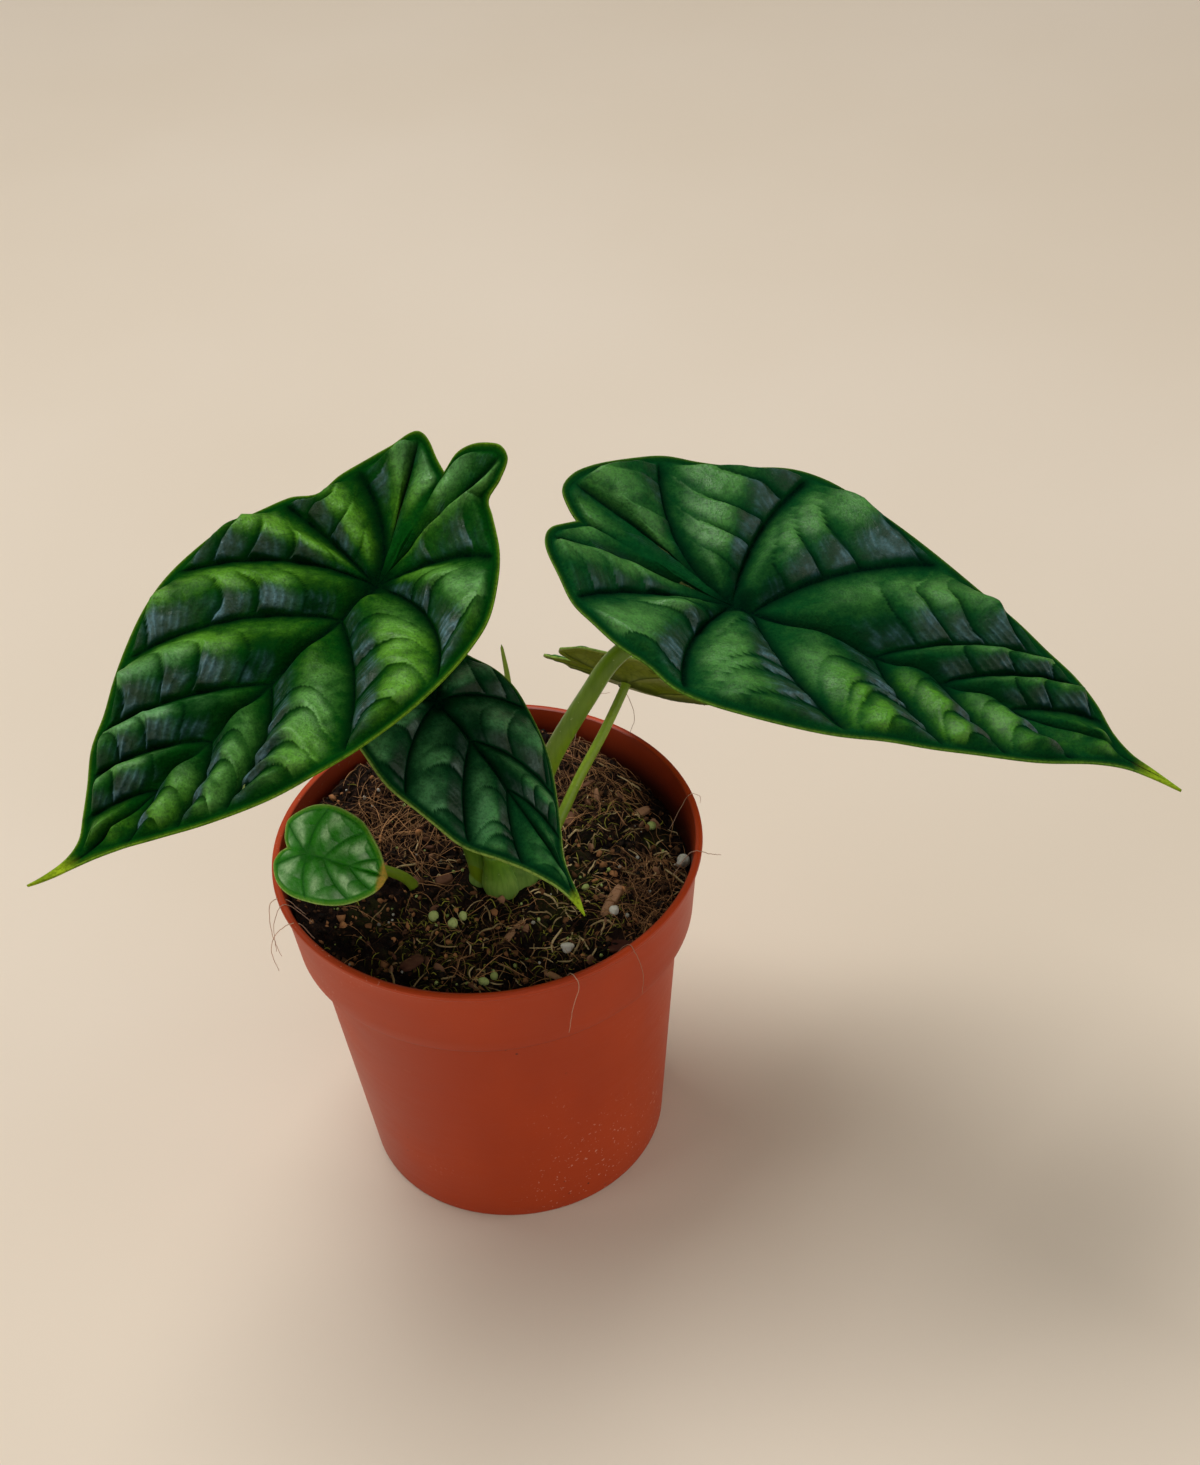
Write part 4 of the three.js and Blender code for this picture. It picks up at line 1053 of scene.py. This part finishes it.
def scatter_crumbs(material):
    rng = np.random.default_rng(5)
    pile = Pile()
    for x, y in places(rng, 2600, 54.5):
        size = rng.uniform(0.25, 0.8) * rng.uniform(0.7, 1.5)
        points, faces = lump(rng, size, rng.uniform(0.35, 1.5, 3), 1, 0.6)
        z = ground(x, y) + size * rng.uniform(0.0, 0.7)
        pile.add(points + (x, y, z), faces, rng.uniform(0, 1) ** 5)
    pile.lay_loose("soil_crumbs", material)


def fibre(rng, start, length, radius, arch, turn):
    """The line of a curved coir fibre that lies on the soil and lifts in the middle."""
    s = np.linspace(0, 1, 8)
    bend = rng.uniform(-0.8, 0.8)
    heading = turn + bend * (s - 0.5) * 2 + 0.22 * np.sin(s * rng.uniform(3, 9) + turn)
    step = length / (len(s) - 1)
    x = start[0] + np.cumsum(np.cos(heading)) * step
    y = start[1] + np.cumsum(np.sin(heading)) * step
    pull = np.minimum(1, INSIDE_RADIUS / np.maximum(np.hypot(x, y), 1e-6))
    x, y = x * pull, y * pull
    under = crumbly_height(x, y)
    z = np.maximum(under, mix(under[0], under[-1], s)) + radius * 0.5 \
        + arch * np.sin(np.pi * s) ** 0.8 * length * 0.22
    return np.stack([x, y, z], -1)


def scatter_fibres(name, material, count, seed, spots, length, radius, arch, tint):
    """Coir fibres; spots are (x, y, spread, share) places where they are dense."""
    rng = np.random.default_rng(seed)
    pile = Pile()
    shares = np.array([spot[3] for spot in spots])
    shares = shares / shares.sum()
    made = 0
    while made < count:
        spot = spots[rng.choice(len(spots), p=shares)]
        x = spot[0] + rng.normal() * spot[2]
        y = spot[1] + rng.normal() * spot[2]
        if math.hypot(x, y) > 54 or not clear_of_crown(x, y, 10):
            continue
        run = rng.uniform(*length)
        thick = rng.uniform(*radius)
        line = fibre(rng, (x, y), run, thick, rng.uniform(0, arch),
                     rng.uniform(0, DRAW_TURN))
        ends = np.linspace(0, 1, len(line))
        points, faces = tube(line, thick * (0.55 + 0.45 * np.sin(np.pi * ends)), 4)
        pile.add(points, faces, mix(*tint, rng.uniform(0, 1) ** 1.8))
        made += 1
    pile.lay_loose(name, material)


def make_grains(pale, white):
    """Pale green feed grains and lumps of perlite, half sunk in the soil."""
    rng = np.random.default_rng(12)
    green, perlite = Pile(), Pile()
    for number, (x, y, size) in enumerate(GRAINS):
        kind = perlite if number in PERLITE else green
        points, faces = lump(rng, size, (1.1, 0.95, 0.85), 3, 0.22 if kind is perlite else 0.07)
        z = float(soil_height(x, y)) + size * 0.75
        kind.add(points + (x, y, z), faces, rng.uniform(0.5, 1))
    for x, y in places(rng, 120, 52):
        points, faces = lump(rng, rng.uniform(0.2, 0.75), (1, 0.9, 0.8), 1, 0.3)
        kind = perlite if rng.uniform() < 0.35 else green
        kind.add(points + (x, y, ground(x, y) + 0.4), faces, rng.uniform(0.2, 0.8))
    green.lay_loose("feed_grains", pale)
    perlite.lay_loose("perlite", white)


# Bark chips, straw and wood: place, size, turn and tint
CHIPS = [
    ("bark_chip", (-13.2, -3.6), (5.2, 3.4, 1.8), 15, 0.25),
    ("wood_flake", (44, 14.5), (8, 3, 1.6), 28, 0.9),
    ("straw_front", (4, -29), (12, 2.2, 1.2), 50, 1.25),
    ("straw_right", (12, -45), (10, 1.8, 1), -40, 1.3),
    ("rind", (32, -21), (13, 3, 1.8), 61, 0.95),
    ("bark_right", (32, -38), (13, 4.6, 1.2), -10, 0.0),
    ("bark_left", (-24, -36), (7, 4, 1.4), 35, 0.1),
    ("bark_back", (24, 14), (6, 3.4, 1.4), 70, 0.3),
]


def make_chips(material):
    """The chips, and small flat bits of bark."""
    rng = np.random.default_rng(3)
    for name, at, size, turn, tint in CHIPS:
        points, faces = ball(4)
        box = 1 / np.sum(points ** 4, 1, keepdims=True) ** 0.25
        layers = 0.05 * np.sin(26 * points[:, 2:] + 3 * points[:, :1])
        grain = 0.06 * noise(points[:, 0] * 2.2, points[:, 1] * 9, 4)[:, None]
        points = points * mix(1, box, 0.6) * (1 + layers + grain) * np.array(size) / 2
        turned = np.array(Matrix.Rotation(math.radians(turn), 3, "Z"))
        z = ground(*at) + size[2] * 0.3 + 0.15
        chip = make_mesh(name + "_fine", points @ turned.T + (*at, z), faces, [material],
                         values={"tint": np.full(len(points), tint)})
        if name in ("bark_chip", "wood_flake"):
            stand_for(chip, name)
        else:
            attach(chip, "root")
    pile = Pile()
    for x, y in places(rng, 60, 53):
        points, faces = lump(rng, rng.uniform(0.8, 2.1), (1.2, 0.7, 0.3), 2, 0.2)
        pile.add(points + (x, y, ground(x, y) + 0.5), faces, rng.uniform(0, 0.8))
    pile.lay_loose("bark_bits", material, "bark")


# Fine root hairs that hang over the rim of the pot
ROOT_HAIRS = [
    [(-52, -10, 100), (-57.5, -12, 109), (-60.4, -13.5, 109.5), (-61.4, -17, 101),
     (-59.8, -20, 95)],
    [(-50, -14, 100), (-57, -16, 110.4), (-60.2, -18, 106), (-60.6, -22, 99)],
    [(16, -48, 101), (18, -56, 110.3), (19.2, -57.6, 108), (17, -58.2, 100), (15.4, -57.4, 90)],
    [(30, -42, 101), (34, -48, 110.3), (35.6, -49.6, 107.5), (37, -47.6, 98),
     (36.4, -46.6, 90)],
    [(52, 6, 100), (58.6, 8, 110.3), (61.2, 8.6, 108.6), (61.4, 9.6, 105)],
    [(28, 44, 100), (32, 49, 109), (36, 50, 115.5), (41, 48.5, 117.5)],
    [(-50, -20, 100), (-54, -23, 109.8), (-58.6, -24.5, 109), (-61.5, -25, 103),
     (-60.4, -27, 96.5)],
    [(50, -14, 101), (56, -15.5, 110.4), (60.4, -16.5, 109.6), (63.4, -15.4, 107.6)],
    [(24, 46, 100), (30, 52, 110.4), (36, 53, 119), (44, 47, 121), (47, 40, 114),
     (45, 37.6, 110)],
]


def make_root_hairs(material):
    rng = np.random.default_rng(17)
    pile = Pile()
    for route in ROOT_HAIRS:
        thick = rng.uniform(0.09, 0.17)
        line = smooth_line(route, np.linspace(0, 1, 30))
        line = line + rng.normal(0, 0.06, line.shape)
        points, faces = tube(line, thick * np.linspace(1, 0.5, 30), 5)
        pile.add(points, faces, rng.uniform(0.3, 0.9))
    pile.lay_loose("stray_roots", material)


# Build the plant

# Gloss, sheen (the strength of the painted sheen on the flanks and of its gloss), shine and
# ribs of each kind of upper face
LEAF_FINISH = {
    "leaf_green": (0.38,),
    "leaf_green_cool": (0.38,),
    "leaf_green_shaded": (0.36, 0.8, 0.0, 0.15),
    "leaf_green_young": (0.25, 1.0, 0.15, 0.0),
}
UPPER = {name: leaf_material(name, *finish) for name, finish in LEAF_FINISH.items()}
under_green = underside_material("leaf_underside", rgb(104, 122, 62), rgb(134, 150, 84),
                                 rgb(150, 160, 90))
# The back blade's underside is painted lighter and more yellow, as light shining through it
under_lit_through = underside_material("leaf_underside_lit_through", rgb(118, 132, 18), rgb(74, 88, 12),
                                rgb(150, 160, 80))
for leaf in LEAVES:
    pitch, columns = leaf["grid"]
    under = under_lit_through if leaf["name"] == "leaf_blade_back" else under_green
    make_blade(leaf, UPPER[leaf["upper"]], under, pitch, columns)

green_stalk = stalk_material("stalk_green", rgb(124, 156, 28), rgb(98, 132, 4), rgb(74, 108, 8))
thin_stalk = stalk_material("stalk_pale", rgb(126, 158, 40), rgb(134, 164, 30),
                            rgb(104, 134, 30))
for name in STALKS:
    is_thin = name in ("leaf_stalk_back", "leaf_stalk_young", "rolled_leaf")
    make_stalk(name, thin_stalk if is_thin else green_stalk)
# The sheaths' pale colour low down is partly their own paler base and partly a painted whitish
# sheen
make_crown(stalk_material("sheath_green", rgb(146, 180, 92), rgb(106, 152, 38),
                          rgb(60, 112, 18)))

make_pot(pot_material())
make_soil(soil_material())
scatter_crumbs(tinted_material("crumb", rgb(14, 8, 5), rgb(186, 130, 84)))
scatter_fibres(
    "coir_fibres", tinted_material("coir", rgb(50, 24, 13), rgb(216, 162, 110), 0.8), 1500, 31,
    [(0, 0, 34, 1.0), (-30, 22, 9, 1.5), (-20, 12, 9, 0.8), (36, 30, 10, 1.8),
     (22, 34, 8, 0.8), (46, -14, 6, 0.9), (41, -25, 5, 0.9), (-5, -34, 18, 1.0)],
    (4, 15), (0.035, 0.12), 0.8, (0.0, 0.95))
scatter_fibres(
    "moss_threads", tinted_material("moss", rgb(52, 54, 12), rgb(178, 176, 72), 0.8), 700, 47,
    [(0, -36, 20, 2.0), (20, -22, 12, 1.0), (-20, -28, 10, 0.8), (34, 12, 9, 0.5)],
    (1.2, 4), (0.06, 0.17), 1.0, (0.0, 1.0))
scatter_fibres(
    "straw_bits", tinted_material("straw", rgb(110, 84, 46), rgb(224, 200, 148), 0.7), 170, 53,
    [(6, -34, 22, 1.0), (34, 4, 20, 0.8), (0, 0, 36, 0.6)],
    (2, 9), (0.12, 0.36), 0.25, (0.2, 1.2))
make_grains(tinted_material("feed_grain", rgb(96, 120, 40), rgb(190, 206, 130), 0.55),
            tinted_material("perlite_white", rgb(140, 138, 122), rgb(214, 212, 200), 0.85))
make_chips(tinted_material("bark", rgb(64, 30, 20), rgb(170, 128, 96), 0.85))
make_root_hairs(tinted_material("root_hair", rgb(120, 84, 62), rgb(214, 176, 150), 0.6))


# Floor, lights and camera

def make_floor():
    """A floor that is flat round the plant and sweeps up evenly far from it; in metres."""
    flat, rise, turns = 1.5, 1.5, 64
    profile = [(0.01, 0.0), (flat * 0.5, 0.0), (flat, 0.0)]
    profile += [(flat + rise * math.sin(a), rise - rise * math.cos(a))
                for a in np.linspace(0.1, math.pi / 2, 14)]
    turn = 2 * np.pi * np.arange(turns) / turns
    points = np.vstack([turned(r, z, turn) for r, z in profile])
    faces = grid_faces(len(profile), turns, closed=True)
    faces.append(list(range(turns))[::-1])
    make_mesh("floor", points / MM, faces, [floor_material()])


# Place and size in metres, power in watts, and colour
LIGHTS = {
    "key": ((-0.35, 0.35, 1.6), (0.9, 0.8), 19.5, (1.0, 0.985, 0.97)),
    "left": ((-1.6, -0.5, 0.6), (0.8, 0.8), 4.5, (1.0, 0.97, 0.93)),
    "right": ((1.6, -0.3, 0.5), (0.8, 0.8), 5, (1.0, 0.98, 0.95)),
    "fill": ((0.5, -1.6, 1.1), (1.6, 1.2), 7, (1.0, 0.99, 0.98)),
}
LIGHT_AIM = (0, 0, 0.12)


def area_light(name, place, size, power, color):
    light = bpy.data.lights.new(name, "AREA")
    light.shape = "RECTANGLE"
    light.size, light.size_y = size
    light.energy = power
    light.color = color
    item = bpy.data.objects.new(name, light)
    item.location = place
    aim = Vector(LIGHT_AIM) - Vector(place)
    item.rotation_euler = aim.to_track_quat("-Z", "Y").to_euler()
    bpy.context.scene.collection.objects.link(item)


make_floor()
for name, settings in LIGHTS.items():
    area_light(name, *settings)

world = bpy.data.worlds.new("studio")
world.use_nodes = True
background = world.node_tree.nodes["Background"]
background.inputs["Color"].default_value = (1.0, 0.95, 0.89, 1)
background.inputs["Strength"].default_value = 0.19
bpy.context.scene.world = world
bpy.context.scene.view_settings.view_transform = "Standard"

camera = bpy.data.objects.new("camera", bpy.data.cameras.new("camera"))
camera.data.lens = CAMERA_LENS
camera.data.sensor_width = SENSOR_WIDTH
camera.location = CAMERA_PLACE
camera.rotation_euler = [math.radians(a) for a in CAMERA_TURN]
bpy.context.scene.collection.objects.link(camera)
bpy.context.scene.camera = camera
